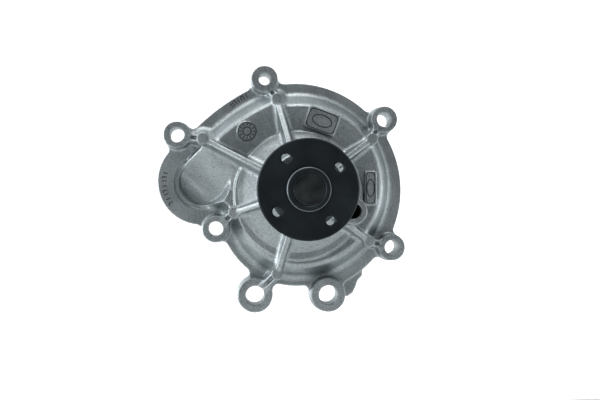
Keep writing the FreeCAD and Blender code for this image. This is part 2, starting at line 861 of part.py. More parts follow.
def build_weep_filter():
    """The sintered plug inside the weep boss."""
    body = new_body("weep_filter")
    sketch = face_sketch(body, "filter_circle", "weep_filter_start")
    draw_circle(sketch, "weep_x", "weep_z", "weep_hole")
    raise_to(body, sketch, "weep_filter_start", "weep_filter_end", "filter")


# ---------------------------------------------------------------- shaft and bearing

BALL_ROWS = {"rear": "ball_rear_height", "front": "ball_front_height"}


def cut_raceways(body):
    """The two ball grooves, which the shaft and the outer ring share."""
    for name, height in BALL_ROWS.items():
        sketch = side_sketch(body, f"raceway_{name}_circle")
        index = sketch.addGeometry(Part.Circle(
            Vector(size("ball_pitch_radius"), -size(height), 0), Vector(0, 0, 1),
            size("ball_groove")), False)
        place = Sketcher.Constraint("DistanceX", -1, 1, index, 3, size("ball_pitch_radius"))
        bind(sketch, place, "sizes.ball_pitch_radius")
        level = Sketcher.Constraint("DistanceY", -1, 1, index, 3, -size(height))
        bind(sketch, level, f"-sizes.{height}")
        bind(sketch, Sketcher.Constraint("Radius", index, size("ball_groove")), "sizes.ball_groove")
        groove = body.newObject("PartDesign::Groove", f"raceway_{name}")
        groove.Profile = sketch
        groove.ReferenceAxis = (sketch, ["V_Axis"])
        groove.Angle = 360.0
        checked_cut(groove)


def build_shaft():
    """The bearing shaft, with the ball grooves ground into it."""
    inner = ("shaft_radius", -size("shaft_chamfer"))
    body = turned_ring("shaft", [
        (0.0, "shaft_start"),
        (inner, "shaft_start"),
        ("shaft_radius", ("shaft_start", size("shaft_chamfer"))),
        ("shaft_radius", ("shaft_end", -size("shaft_chamfer"))),
        (inner, "shaft_end"),
        (0.0, "shaft_end")])
    cut_raceways(body)


def build_outer_ring():
    """The bearing's outer ring, pressed into the snout."""
    lip = size("bearing_lip_depth")
    body = turned_ring("bearing_outer_ring", [
        ("bearing_lip", "bearing_start"),
        ("bearing_radius", "bearing_start"),
        ("bearing_radius", "bearing_end"),
        ("bearing_lip", "bearing_end"),
        ("bearing_lip", ("bearing_end", -lip)),
        ("bearing_inner", ("bearing_end", -lip)),
        ("bearing_inner", ("bearing_start", lip)),
        ("bearing_lip", ("bearing_start", lip))])
    cut_raceways(body)


def build_lip_seals():
    """The two lip seals that close the ends of the bearing."""
    inset = size("lip_seal_inset")
    thick = size("lip_seal_thickness")
    edge = ("lip_seal_inner", size("lip_seal_edge"))
    spans = {
        "bearing_seal_rear": (("bearing_start", inset), ("bearing_start", inset + thick)),
        "bearing_seal_front": (("bearing_end", -inset - thick), ("bearing_end", -inset)),
    }
    for label, (start, end) in spans.items():
        middle = (start[0], 0.5 * (start[1] + end[1]))
        turned_ring(label, [
            ("lip_seal_inner", middle),
            (edge, start),
            ("bearing_lip", start),
            ("bearing_lip", end),
            (edge, end)])


def build_ball_rows():
    """Each row's balls, and the cage that spaces them."""
    for name, height in BALL_ROWS.items():
        body = new_body(f"bearing_balls_{name}")
        body.AllowCompound = True
        sketch = side_sketch(body, f"ball_{name}_half")
        draw_half_disc(sketch, height, "ball_radius")
        ball = body.newObject("PartDesign::Revolution", f"ball_{name}")
        ball.Profile = sketch
        ball.ReferenceAxis = (sketch, ["Axis0"])
        ball.Angle = 360.0
        doc.recompute()
        repeat(body, ball, "ball_count", f"balls_{name}")

        half = size("cage_half_width")
        cage = turned_ring(f"bearing_cage_{name}", [
            ("cage_inner", (height, -half)),
            ("cage_outer", (height, -half)),
            ("cage_outer", (height, half)),
            ("cage_inner", (height, half))])
        hollow = side_sketch(cage, f"cage_{name}_half")
        draw_half_disc(hollow, height, "cage_pocket")
        pocket = cage.newObject("PartDesign::Groove", f"cage_pocket_{name}")
        pocket.Profile = hollow
        pocket.ReferenceAxis = (hollow, ["Axis0"])
        pocket.Angle = 360.0
        checked_cut(pocket)
        repeat(cage, pocket, "ball_count", f"cage_pockets_{name}")


def draw_half_disc(sketch, height, radius):
    """Half a disc at the ball circle, with its straight side as an axis square to the shaft."""
    x = size("ball_pitch_radius")
    y = -size(height)
    r = size(radius)
    circle = Part.Circle(Vector(x, y, 0), Vector(0, 0, 1), r)
    ends = [Vector(x - r, y, 0), Vector(x + r, y, 0)]
    sketch.addGeometry(Part.ArcOfCircle(circle, 0.0, math.pi), False)
    sketch.addGeometry(Part.LineSegment(*ends), False)
    axis = sketch.addGeometry(Part.LineSegment(*ends), True)
    sketch.addConstraint(Sketcher.Constraint("Coincident", 0, 1, 1, 2))
    sketch.addConstraint(Sketcher.Constraint("Coincident", 0, 2, 1, 1))
    sketch.addConstraint(Sketcher.Constraint("Coincident", axis, 1, 1, 1))
    sketch.addConstraint(Sketcher.Constraint("Coincident", axis, 2, 1, 2))
    sketch.addConstraint(Sketcher.Constraint("Horizontal", 1))
    sketch.addConstraint(Sketcher.Constraint("PointOnObject", 0, 3, 1))
    bind(sketch, Sketcher.Constraint("Radius", 0, r), f"sizes.{radius}")
    bind(sketch, Sketcher.Constraint("DistanceX", -1, 1, 0, 3, x), "sizes.ball_pitch_radius")
    bind(sketch, Sketcher.Constraint("DistanceY", -1, 1, 0, 3, y), f"-sizes.{height}")


def build_slinger():
    """The disc on the shaft that throws leaked water off before it reaches the bearing."""
    turned_ring("slinger", [
        ("shaft_radius", "slinger_start"),
        ("slinger_outer", "slinger_start"),
        ("slinger_outer", "slinger_end"),
        ("shaft_radius", "slinger_end")])


# ---------------------------------------------------------------- coolant seal

def build_seal():
    """The face seal: the still half is in the case, the turning half is on the sleeve."""
    wall = size("case_wall")
    turned_ring("seal_case", [
        (("case_outer", -wall), "case_start"),
        ("case_outer", "case_start"),
        ("case_outer", "seal_shoulder"),
        ("case_back_inner", "seal_shoulder"),
        ("case_back_inner", "bellows_end"),
        (("case_outer", -wall), "bellows_end")])
    turned_ring("seal_carbon_ring", [
        ("carbon_inner", "carbon_start"),
        ("carbon_outer", "carbon_start"),
        ("carbon_outer", "carbon_end"),
        ("carbon_inner", "carbon_end")])
    rim = size("bellows_rim")
    waist = size("bellows_waist")
    turned_ring("seal_bellows", [
        ("carbon_inner", "carbon_end"),
        ("bellows_fold", "carbon_end"),
        ("bellows_fold", ("carbon_end", rim)),
        ("bellows_outer", ("carbon_end", waist)),
        ("bellows_outer", ("bellows_end", -waist)),
        ("bellows_fold", ("bellows_end", -rim)),
        ("bellows_fold", "bellows_end"),
        ("carbon_inner", "bellows_end")])
    turned_ring("seal_spring_washer", [
        ("bellows_fold", "carbon_end"),
        ("washer_outer", "carbon_end"),
        ("washer_outer", ("carbon_end", size("washer_thickness"))),
        ("bellows_fold", ("carbon_end", size("washer_thickness")))])
    build_spring()
    turned_ring("seal_mating_ring", [
        ("mating_inner", "mating_start"),
        ("mating_outer", "mating_start"),
        ("mating_outer", "mating_end"),
        ("mating_inner", "mating_end")])
    turned_ring("seal_seat_cup", [
        ("sleeve_outer", "impeller_hub_end"),
        ("mating_outer", "impeller_hub_end"),
        ("mating_outer", "mating_start"),
        ("mating_inner", "mating_start"),
        ("mating_inner", "mating_end"),
        ("sleeve_outer", "mating_end")])
    turned_ring("seal_drive_sleeve", [
        ("shaft_radius", "impeller_hub_end"),
        ("sleeve_outer", "impeller_hub_end"),
        ("sleeve_outer", "sleeve_end"),
        ("shaft_radius", "sleeve_end")])


def build_spring():
    """The coil spring that presses the carbon ring forwards."""
    body = new_body("seal_spring")
    sketch = side_sketch(body, "spring_wire_circle")
    index = sketch.addGeometry(Part.Circle(
        Vector(size("spring_radius"), -size("spring_start"), 0), Vector(0, 0, 1),
        size("spring_wire")), False)
    bind(sketch, Sketcher.Constraint("Radius", index, size("spring_wire")), "sizes.spring_wire")
    place = Sketcher.Constraint("DistanceX", -1, 1, index, 3, size("spring_radius"))
    bind(sketch, place, "sizes.spring_radius")
    level = Sketcher.Constraint("DistanceY", -1, 1, index, 3, -size("spring_start"))
    bind(sketch, level, "-sizes.spring_start")
    coil = body.newObject("PartDesign::AdditiveHelix", "spring_coil")
    coil.Profile = sketch
    coil.ReferenceAxis = (sketch, ["V_Axis"])
    coil.Mode = 1
    coil.Pitch = size("spring_pitch")
    coil.setExpression("Pitch", "sizes.spring_pitch")
    coil.Turns = size("spring_turns")
    coil.setExpression("Turns", "sizes.spring_turns")
    coil.Reversed = True


# ---------------------------------------------------------------- impeller

def build_impeller():
    """The impeller: a back plate and hub with curved vanes that stand towards the engine."""
    plate = ("impeller_back", -size("impeller_disc"))
    chamfer = size("impeller_hub_chamfer")
    body = turned_ring("impeller", [
        ("impeller_bore", "impeller_hub_start"),
        (("impeller_hub", -chamfer), "impeller_hub_start"),
        ("impeller_hub", ("impeller_hub_start", chamfer)),
        ("impeller_hub", plate),
        ("impeller_radius", plate),
        ("impeller_radius", "impeller_back"),
        ("impeller_hub", "impeller_back"),
        ("impeller_hub", "impeller_hub_end"),
        ("impeller_bore", "impeller_hub_end")])
    doc.recompute()
    sketch = face_sketch(body, "vane_outline", "vane_start")
    draw_vane(sketch)
    end = ("impeller_back", -0.5 * size("impeller_disc"))
    vane = raise_to(body, sketch, "vane_start", end, "vane")
    doc.recompute()
    repeat(body, vane, "vane_count", "vanes")


def draw_vane(sketch):
    """One vane seen along the shaft: a strip between two arcs about one centre."""
    inner = size("vane_root")
    outer = size("vane_tip")
    middle = size("vane_arc")
    half = 0.5 * size("vane_thickness")
    centre = (0.0, size("vane_centre_z"))
    corners = {}
    for edge in (middle - half, middle + half):
        for reach in (inner, outer):
            corners[edge, reach] = circle_crossing(reach, centre, edge)
    low = middle - half
    high = middle + half
    near = arc_between(centre, low, corners[low, inner], corners[low, outer])
    far = arc_between(centre, high, corners[high, inner], corners[high, outer])
    ends = [
        Part.LineSegment(Vector(*corners[low, reach], 0), Vector(*corners[high, reach], 0))
        for reach in (inner, outer)]
    for item in (near, far, *ends):
        index = sketch.addGeometry(item, False)
        sketch.addConstraint(Sketcher.Constraint("Block", index))


def circle_crossing(reach, centre, radius):
    """Right-hand point at a distance from the shaft axis and at a radius from a centre above it."""
    height = centre[1]
    z = (reach * reach - radius * radius + height * height) / (2.0 * height)
    return math.sqrt(reach * reach - z * z), z


def build_bush():
    """The steel bush moulded into the impeller and pressed on the shaft."""
    turned_ring("impeller_bush", [
        ("shaft_radius", "bush_start"),
        ("impeller_bore", "bush_start"),
        ("impeller_bore", "bush_end"),
        ("shaft_radius", "bush_end")])


# ---------------------------------------------------------------- pulley hub

def build_hub():
    """The pulley hub: a flange with a sleeve, a centring spigot and four tapped holes."""
    edge = size("hub_chamfer")
    lip = size("spigot_chamfer")
    rim = ("hub_radius", -edge)
    body = turned_ring("hub_flange", [
        ("shaft_radius", "hub_sleeve_start"),
        ("hub_sleeve", "hub_sleeve_start"),
        ("hub_sleeve", "hub_back"),
        (rim, "hub_back"),
        ("hub_radius", ("hub_back", edge)),
        ("hub_radius", ("hub_front", -edge)),
        (rim, "hub_front"),
        ("spigot_radius", "hub_front"),
        ("spigot_radius", ("spigot_end", -lip)),
        (("spigot_radius", -lip), "spigot_end"),
        ("spigot_counterbore", "spigot_end"),
        ("shaft_radius", ("spigot_end", -size("spigot_counterbore_depth")))])
    doc.recompute()
    sketch = face_sketch(body, "hub_hole_circle", "hub_back")
    angle = math.radians(size("hub_hole_angle"))
    pitch = size("hub_hole_pitch")
    draw_circle(sketch, pitch * math.cos(angle), pitch * math.sin(angle), "hub_hole")
    hole = cut_down(body, sketch, ABOVE_ALL, "hub_hole_cut")
    repeat(body, hole, "hub_hole_count", "hub_holes")
    doc.recompute()
    chamfer_mouths(body)


def chamfer_mouths(body):
    """A chamfer round the mouth of each tapped hole, on both faces of the flange."""
    levels = (-size("hub_front"), -size("hub_back"))
    drilled = body.Tip
    edges = []
    for i, edge in enumerate(drilled.Shape.Edges, start=1):
        box = edge.BoundBox
        small = abs(box.XLength - 2.0 * size("hub_hole")) < 0.01
        if small and min(abs(box.YMin - level) for level in levels) < 0.001:
            edges.append(f"Edge{i}")
    chamfer = body.newObject("PartDesign::Chamfer", "hub_hole_mouths")
    chamfer.Base = (drilled, edges)
    chamfer.Size = size("hub_hole_mouth") - size("hub_hole")
    chamfer.setExpression("Size", "sizes.hub_hole_mouth - sizes.hub_hole")


# ---------------------------------------------------------------- checks and export

def write_nodes():
    """Check every object and shape, then write one STEP file for each node."""
    doc.recompute()
    for item in doc.Objects:
        if "Invalid" in item.State or "Error" in item.State:
            raise RuntimeError(f"{item.Label} failed: {item.State}")
    os.makedirs("parts", exist_ok=True)
    for node in nodes:
        shape = node.Shape
        if shape.isNull() or not shape.isValid():
            raise RuntimeError(f"{node.Label} has no valid shape")
    for node in nodes:
        node.Shape.exportStep(os.path.join("parts", f"{node.Label}.step"))
        print(f"{node.Label}: {len(node.Shape.Solids)} solid(s), {node.Shape.Volume:.1f} mm3")


build_housing()
build_gasket()
build_weep_filter()
build_shaft()
build_outer_ring()
build_lip_seals()
build_ball_rows()
build_slinger()
build_seal()
build_impeller()
build_bush()
build_hub()
write_nodes()
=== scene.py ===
"""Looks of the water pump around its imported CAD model.

The pump's frame: the shaft axis meets the mounting face at the origin, the pulley side looks
towards -Y and +Z is up. Housing sizes are in millimetres and heights are measured from the
mounting face towards the pulley; they become metres when the mesh is made.
"""
import json
import math

import bpy
import numpy as np
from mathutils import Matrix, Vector


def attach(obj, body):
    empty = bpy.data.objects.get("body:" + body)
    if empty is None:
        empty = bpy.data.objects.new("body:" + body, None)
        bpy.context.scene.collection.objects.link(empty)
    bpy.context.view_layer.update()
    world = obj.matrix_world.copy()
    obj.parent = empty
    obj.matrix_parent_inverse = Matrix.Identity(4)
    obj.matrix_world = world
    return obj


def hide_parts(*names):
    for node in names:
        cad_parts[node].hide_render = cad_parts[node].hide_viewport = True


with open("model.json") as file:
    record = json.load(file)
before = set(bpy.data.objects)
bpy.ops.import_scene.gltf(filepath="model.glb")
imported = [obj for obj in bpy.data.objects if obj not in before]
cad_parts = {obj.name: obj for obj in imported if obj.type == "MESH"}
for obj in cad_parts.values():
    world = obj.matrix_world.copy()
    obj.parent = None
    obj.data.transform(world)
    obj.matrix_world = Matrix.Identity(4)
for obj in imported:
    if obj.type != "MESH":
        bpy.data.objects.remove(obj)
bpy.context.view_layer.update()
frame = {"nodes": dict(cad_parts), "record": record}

MM = 0.001
GRID_STEP = 0.5
FAR = 50.0

# ---------------------------------------------------------------- housing sizes

# points are (x, z) and circles are (x, z, radius)
RIM = (0.0, 0.6, 61.2)
RIM_RIGHT = (0.5, 0.6, 61.5)
RIM_TOP = (-0.8, 1.6, 61.8)
SCROLL = (33.1, -56.3, 131.0)
LOBE = (-55.8, 5.1)
LOBE_EDGE = (-55.8, 5.7, 25.5)
LOW = (0.0, -10.0, 46.0)
LUG_MARGIN = 0.7
LUG_BLEND = 3.5
PLATE_TOP = 7.0

BOSS_RADIUS = 7.6
BOSS_TOP = 17.0
FOOT_RADIUS = 9.9
FOOT_TOP = 15.0
BOSS_DRAFT = 0.02
# bosses are (x, z, hole radius)
SMALL_BOSSES = {
    "top": (-19.5, 64.4, 3.5),
    "left": (-69.6, 32.0, 4.25),
    "upper_right": (50.2, 41.6, 4.25),
    "lower_right": (54.7, -32.9, 4.25),
    "lower_left": (-47.5, -21.9, 4.25),
}
FEET = {"foot_left": (-24.8, -60.4, 5.5), "foot_right": (17.7, -60.4, 5.5)}

PADS = {
    "top": (-12.6, 52.3),
    "left": (-54.7, 29.4),
    "upper_right": (42.0, 29.7),
    "lower_right": (40.3, -29.0),
    "lower_left": (-37.0, -12.5),
    "foot_left": (-12.5, -47.4),
}
PAD_RADIUS = 3.35
PAD_TOP = 24.2
PAD_DRAFT = 0.03
PAD_FOOT = 6.0
RIB_HALF = 1.5
RIB_ROOT_REACH = 16.0
RIB_ROOT_TOP = 41.0
RIB_END = 22.9
RIB_FOOT = 9.0
LINK_HALF = 0.65
LINK_SPREAD = 1.55
LINK_START = 19.5
LINK_END = 14.0
LINK_FOOT = 4.0
WEB_DROP = 2.0
RIB_DRAFT = 0.1

DOME = (1.0, 3.0, 53.0)
DOME_SCROLL_RADIUS = 123.6
DOME_CORNER = 6.6
DOME_TOP = 21.9
DOME_DRAFT = 0.42
DOME_DISH = 0.2
DOME_DISH_START = 8.0
DOME_LOBE = (-42.0, 10.0, 21.0)
PAST_LEFT_RIB = 1.5
PAST_LOWER_LEFT_RIB = 1.0

PLATEAU = (0.0, -3.0, 37.2)
PLATEAU_TOP = 22.5
PLATEAU_DRAFT = 0.15
PLATEAU_DRAFT_HEIGHT = 20.0
PLATEAU_FOOT = 5.0
CONE_RADIUS = 34.0
CONE_SLOPE = 0.45
CONE_FOOT = 10.0
SNOUT_RADIUS = 20.0
SNOUT_TOP = 71.1
SNOUT_DRAFT = 0.012
SNOUT_CHAMFER = 0.8

LEDGE_RADIUS = 15.9
LEDGE_FLOOR = 5.4
POCKET_RADIUS = 12.8
POCKET_FLOOR = 2.4
POCKET_DRAFT = 0.15
RAMP_FALL = math.radians(225.0)
# height of the ramp at distances down it from the middle of the lobe
RAMP_REACH = [-40.0, -24.0, -18.0, -12.4, -6.0, -0.4, 4.0, 7.5, 9.5, 13.0, 14.0, 15.0]
RAMP_HEIGHT = [20.4, 20.4, 19.6, 17.4, 11.6, 6.1, 2.8, 1.3, 1.5, 5.8, 5.6, 2.0]
RAMP_STEP = 0.25
RAMP_SOFT = 8
RAMP_INSET = 1.5
RAMP_SIDE = 14.6
RAMP_WALL_SLOPE = 0.06
UNDER_RAMP = 1.5
SHOULDER_TOP = 19.6
SHOULDER_FADE = 5.0
SHOULDER_REACH = 16.6
SHOULDER_SLOPE = 2.6

WEEP = (28.9, -11.6, 7.5)
WEEP_TOP = 41.0
WEEP_DRAFT = 0.01
WEEP_FOOT = 18.0
WEEP_HOLE = (28.5, -11.3, 4.4)
WEEP_HOLE_TOP = 60.0
WEEP_FLOOR = 28.6
BRIDGE_TOP = 36.0
BRIDGE_HALF = 4.5
BRIDGE_DRAFT = 0.03

# name: (place, half sizes, turn in degrees)
LABELS = {
    "upper": ((13.1, 39.9), (9.2, 6.3), -20.0),
    "right": ((41.1, 1.6), (3.4, 9.6), 0.0),
}
LABEL_TOP = 23.1
LABEL_FOOT = 18.0
LABEL_CORNER = 1.0
DIAL = (-29.7, 33.8, 5.6)
DIAL_TOP = 22.3
DIAL_DRAFT = 0.05

CAVITY_INSET = 5.5
CAVITY_TOP = 18.0
CAVITY_DRAFT = 0.105
CAVITY_CORNER = (-40.5, 27.5)
CAVITY_BLEND = 10.0
SWIRL = (0.0, 0.0, 35.5)
SWIRL_BLEND = 3.5
# the duct lies along the left rib: (along it, beside it)
DUCT_MIDDLE = (45.0, 9.25)
DUCT_HALF = (12.0, 6.75)
DUCT_TOP = 10.7
DUCT_TOP_BESIDE = 2.5
DUCT_SLOPE = 0.583
GROOVE = (2.0, 2.0, 54.17)
GROOVE_LOBE_RADIUS = 20.6
GROOVE_BLEND = 6.0
GROOVE_HALF = 1.5
GROOVE_DEPTH = 2.6
BEARING_RADIUS = 15.0
# bores are (radius, lowest height, highest height): seal, lip, bearing
BORES = [(18.25, 8.0, 29.0), (14.2, 28.0, 32.0), (BEARING_RADIUS, 31.4, 73.0)]
MOUTH_START = 70.3
EAR = [(22.0, -52.0), (27.0, -61.5), (30.3, -62.9), (33.6, -60.6), (35.6, -56.5),
       (36.6, -53.4), (39.3, -50.4), (39.8, -45.0)]
EAR_TOP = 3.6
# how far the skin stays inside its outline and the mounting face
EDGE_PLAY = 0.06

# rounding of a feature's own edges, and of the corners where it meets the rest
EDGE = {
    "plate": 0.7, "ear": 1.0, "dome": 3.0, "ramp": 1.2, "plateau": 0.8, "bar": 0.9, "pad": 0.3,
    "boss": 0.35, "weep": 1.0, "weep_hole": 0.1, "label": 0.4, "dial": 0.3, "cavity": 2.0, "duct": 1.0,
}
FILLET = {
    "ledge": 0.5, "ear": 1.0, "dome": 3.2, "past_ribs": 1.0, "pocket": 0.5, "ramp": 1.4, "cone": 1.5,
    "plateau": 0.7, "snout": 5.0, "rib": 3.2, "web": 1.6, "link": 0.9, "pad": 0.5, "boss": 1.8,
    "weep": 3.0, "weep_hole": 0.3, "label": 0.6, "dial": 0.4, "cavity": 0.4, "duct": 0.8,
}

# about the cosines of sloping faces: they turn a height or reach past a face into a distance
DOME_SIDE_COS = 0.92
SHOULDER_COS = 0.8
RAMP_WALL_COS = 0.9
RAMP_TOP_COS = 0.75
CONE_COS = 0.91
CHAMFER_COS = 0.707
DUCT_COS = 0.87

# parts of the block that hold one feature: two corners (x, z, height)
FIELD_BOX = ((-83.0, -72.0, -1.6), (64.5, 74.0, 72.6))
LOBE_BOX = ((-83.0, -24.0, 1.0), (-30.0, 40.0, 26.0))
PLATEAU_BOX = ((-40.0, -43.0, 4.0), (40.0, 37.0, 40.0))
SNOUT_BOX = ((-33.0, -33.0, 9.0), (33.0, 33.0, 73.0))
BRIDGE_BOX = ((8.0, -24.0, 14.0), (40.0, 2.0, 46.0))
DUCT_BOX = ((-66.0, -6.0, -2.0), (-26.0, 34.0, 14.0))
BORE_BOX = ((-21.0, -21.0, 6.0), (21.0, 21.0, 75.0))
MOUTH_BOX = ((-19.0, -19.0, 68.0), (19.0, 19.0, 73.0))


# ---------------------------------------------------------------- outlines of blended circles

def join_circles(first, second, blend):
    """Where an outline leaves one circle and reaches the next, and the blend's centre."""
    x1, z1, r1 = first
    x2, z2, r2 = second
    span = math.hypot(x2 - x1, z2 - z1)
    ux = (x2 - x1) / span
    uz = (z2 - z1) / span
    if blend == 0.0:
        side = 1.0 if r1 > r2 else -1.0
        touch = (x1 + side * ux * r1, z1 + side * uz * r1)
        return touch, touch, None
    a = r1 + blend
    b = r2 + blend
    along = (a * a - b * b + span * span) / (2.0 * span)
    across = math.sqrt(a * a - along * along)
    centre = (x1 + along * ux + across * uz, z1 + along * uz - across * ux)
    leave = (x1 + (centre[0] - x1) * r1 / a, z1 + (centre[1] - z1) * r1 / a)
    reach = (x2 + (centre[0] - x2) * r2 / b, z2 + (centre[1] - z2) * r2 / b)
    return leave, reach, centre


def arc_points(centre, radius, start, end, clockwise=False):
    """Points about a millimetre apart along an arc, without its last point."""
    a0 = math.atan2(start[1] - centre[1], start[0] - centre[0])
    a1 = math.atan2(end[1] - centre[1], end[0] - centre[0])
    turn = (a1 - a0) % (2.0 * math.pi)
    if clockwise:
        turn -= 2.0 * math.pi
    count = max(4, int(abs(turn) * radius))
    angles = a0 + turn * np.arange(count) / count
    return np.stack([centre[0] + radius * np.cos(angles), centre[1] + radius * np.sin(angles)], 1)


def blended_outline(circles, blends):
    """Points of a closed outline that follows each circle in turn, counter-clockwise."""
    count = len(circles)
    joints = [join_circles(circles[i], circles[(i + 1) % count], blends[i]) for i in range(count)]
    parts = []
    for i, (x, z, radius) in enumerate(circles):
        leave, reach, centre = joints[i]
        parts.append(arc_points((x, z), radius, joints[i - 1][1], leave))
        if centre is not None:
            parts.append(arc_points(centre, blends[i], leave, reach, clockwise=True))
    return np.concatenate(parts)


def inner_pair(main):
    """A main circle and the low circle that touches it from inside."""
    return main, (LOW[0], LOW[1], main[2] - math.hypot(main[0] - LOW[0], main[1] - LOW[1]))


def around(centre, inner):
    """The circle about a centre that just encloses another circle."""
    x, z, radius = inner
    return (centre[0], centre[1], radius + math.hypot(centre[0] - x, centre[1] - z))


def flange_points():
    """The edge of the mounting flange."""
    lug = {name: (x, z, BOSS_RADIUS + LUG_MARGIN) for name, (x, z, hole) in SMALL_BOSSES.items()}
    foot = {name: (x, z, FOOT_RADIUS + LUG_MARGIN) for name, (x, z, hole) in FEET.items()}
    circles = [
        RIM_RIGHT, lug["upper_right"], RIM_TOP, lug["top"], SCROLL, lug["left"], LOBE_EDGE,
        lug["lower_left"], LOW, foot["foot_left"], LOW, foot["foot_right"], RIM,
        lug["lower_right"]]
    return blended_outline(circles, [LUG_BLEND] * len(circles))


def dome_points():
    """The foot of the domed scroll."""
    main, low = inner_pair(DOME)
    circles = [
        main,
        (*PADS["top"], DOME_CORNER),
        (SCROLL[0], SCROLL[1], DOME_SCROLL_RADIUS),
        (*PADS["left"], DOME_CORNER),
        DOME_LOBE,
        (*PADS["lower_left"], DOME_CORNER),
        low]
    return blended_outline(circles, [LUG_BLEND] * (len(circles) - 1) + [0.0])


def cavity_points():
    """The mouth of the scroll cavity on the engine side."""
    main, low = inner_pair((DOME[0], DOME[1], DOME[2] - CAVITY_INSET))
    scroll = around(SCROLL, main)
    reach = math.hypot(SCROLL[0] - CAVITY_CORNER[0], SCROLL[1] - CAVITY_CORNER[1])
    corner = (*CAVITY_CORNER, scroll[2] - reach)
    blends = [0.0, 0.0, CAVITY_BLEND, SWIRL_BLEND, 0.0]
    return blended_outline([main, scroll, corner, SWIRL, low], blends)


def groove_points():
    """The middle of the gasket groove."""
    main, low = inner_pair(GROOVE)
    lobe = (LOBE[0], LOBE[1], GROOVE_LOBE_RADIUS)
    return blended_outline(
        [main, around(SCROLL, main), lobe, low], [0.0, GROOVE_BLEND, GROOVE_BLEND, 0.0])


# ---------------------------------------------------------------- distance fields

def join(a, b, k):
    """Union of two solids with a fillet about k wide."""
    if k <= 0.0:
        return np.minimum(a, b)
    share = np.clip(0.5 + 0.5 * (b - a) / k, 0.0, 1.0)
    return b + (a - b) * share - k * share * (1.0 - share)


def both(a, b, k):
    """What two solids share, with the edge rounded over about k."""
    return -join(-a, -b, k)


def without(a, b, k):
    """The first solid with the second cut out of it."""
    return -join(-a, b, k)


def outline_distance(points, x, z):
    """Signed distance to a closed outline in the plane, negative inside."""
    nearest = np.full(np.broadcast(x, z).shape, 1e9)
    inside = np.zeros(nearest.shape, bool)
    for (x0, z0), (x1, z1) in zip(points, np.roll(points, -1, axis=0)):
        dx = x1 - x0
        dz = z1 - z0
        share = np.clip(((x - x0) * dx + (z - z0) * dz) / (dx * dx + dz * dz), 0.0, 1.0)
        away = (x - x0 - share * dx) ** 2 + (z - z0 - share * dz) ** 2
        np.minimum(nearest, away, out=nearest)
        if z0 != z1:
            crosses = (z0 > z) != (z1 > z)
            inside ^= crosses & (x < x0 + (z - z0) * dx / dz)
    distance = np.sqrt(nearest)
    return np.where(inside, -distance, distance)


class Field:
    """A block of space sampled on a grid, which holds the signed distance to the housing."""

    def __init__(self, low, high, step):
        self.step = step
        self.axes = [np.arange(a, b + step, step) for a, b in zip(low, high)]
        self.value = np.full([len(axis) for axis in self.axes], FAR)

    def change(self, solid, how, k, box=None):
        """Join a solid to the field, or cut it out, inside a box ((x, z, h), (x, z, h))."""
        part = []
        for i, axis in enumerate(self.axes):
            start, stop = 0, len(axis)
            if box:
                start = int(np.searchsorted(axis, box[0][i]))
                stop = int(np.searchsorted(axis, box[1][i]))
            part.append(slice(start, stop))
        x = self.axes[0][part[0], None, None]
        z = self.axes[1][None, part[1], None]
        height = self.axes[2][None, None, part[2]]
        old = self.value[tuple(part)]
        self.value[tuple(part)] = how(old, solid(x, z, height), k)


def add_plate_and_dome(field):
    """The flange with the ledge in its lobe, and the dome, which makes room for the ramp."""
    flat = (field.axes[0][:, None], field.axes[1][None, :])
    plate = outline_distance(flange_points(), *flat)[:, :, None]
    dome = outline_distance(dome_points(), *flat)[:, :, None]
    ear = outline_distance(np.array(EAR), *flat)[:, :, None]
    past_left = PAST_LEFT_RIB - beside_rib("left", *flat)
    past_lower_left = PAST_LOWER_LEFT_RIB + beside_rib("lower_left", *flat)
    past_ribs = np.maximum(past_left, past_lower_left)[:, :, None]
    over_ramp = np.maximum(shoulder_height(*flat), LEDGE_FLOOR)[:, :, None]

    def plate_solid(x, z, h):
        return both(plate, h - PLATE_TOP, EDGE["plate"])

    def ledge_solid(x, z, h):
        return np.maximum(np.hypot(x - LOBE[0], z - LOBE[1]) - LEDGE_RADIUS, LEDGE_FLOOR - h)

    def dome_solid(x, z, h):
        dish = np.maximum(-dome - DOME_DISH_START, 0.0)
        side = (dome + (h - PLATE_TOP) * DOME_DRAFT) * DOME_SIDE_COS
        body = both(side, h - DOME_TOP + DOME_DISH * dish, EDGE["dome"])
        cut = np.maximum(past_ribs, (over_ramp - h) * SHOULDER_COS)
        return without(body, cut, FILLET["past_ribs"])

    def ear_solid(x, z, h):
        return both(ear, h - EAR_TOP, EDGE["ear"])

    field.change(plate_solid, join, 0.0)
    field.change(ledge_solid, without, FILLET["ledge"])
    field.change(ear_solid, join, FILLET["ear"])
    field.change(dome_solid, join, FILLET["dome"])


def rib_axes(name, x, z):
    """Distance counter-clockwise past a rib's line, and distance along it from the axis."""
    reach = math.hypot(*PADS[name])
    c = PADS[name][0] / reach
    s = PADS[name][1] / reach
    return z * c - x * s, x * c + z * s


def beside_rib(name, x, z):
    """Distance counter-clockwise past a rib's line."""
    return rib_axes(name, x, z)[0]


def ramp_place(x, z):
    """Distance down the ramp past the middle of the lobe, and across it to the upper left."""
    c = math.cos(RAMP_FALL)
    s = math.sin(RAMP_FALL)
    down = (x - LOBE[0]) * c + (z - LOBE[1]) * s
    return down, (x - LOBE[0]) * s - (z - LOBE[1]) * c


def ramp_height(x, z):
    """Height of the smooth spoon-shaped ramp, and distance beyond its upper left side."""
    down, aside = ramp_place(x, z)
    table = np.arange(RAMP_REACH[0], RAMP_REACH[-1], RAMP_STEP)
    curve = np.pad(np.interp(table, RAMP_REACH, RAMP_HEIGHT), RAMP_SOFT, mode="edge")
    window = 2 * RAMP_SOFT + 1
    soft = np.convolve(curve, np.ones(window) / window, mode="valid")
    return np.interp(down, table, soft), aside - RAMP_SIDE


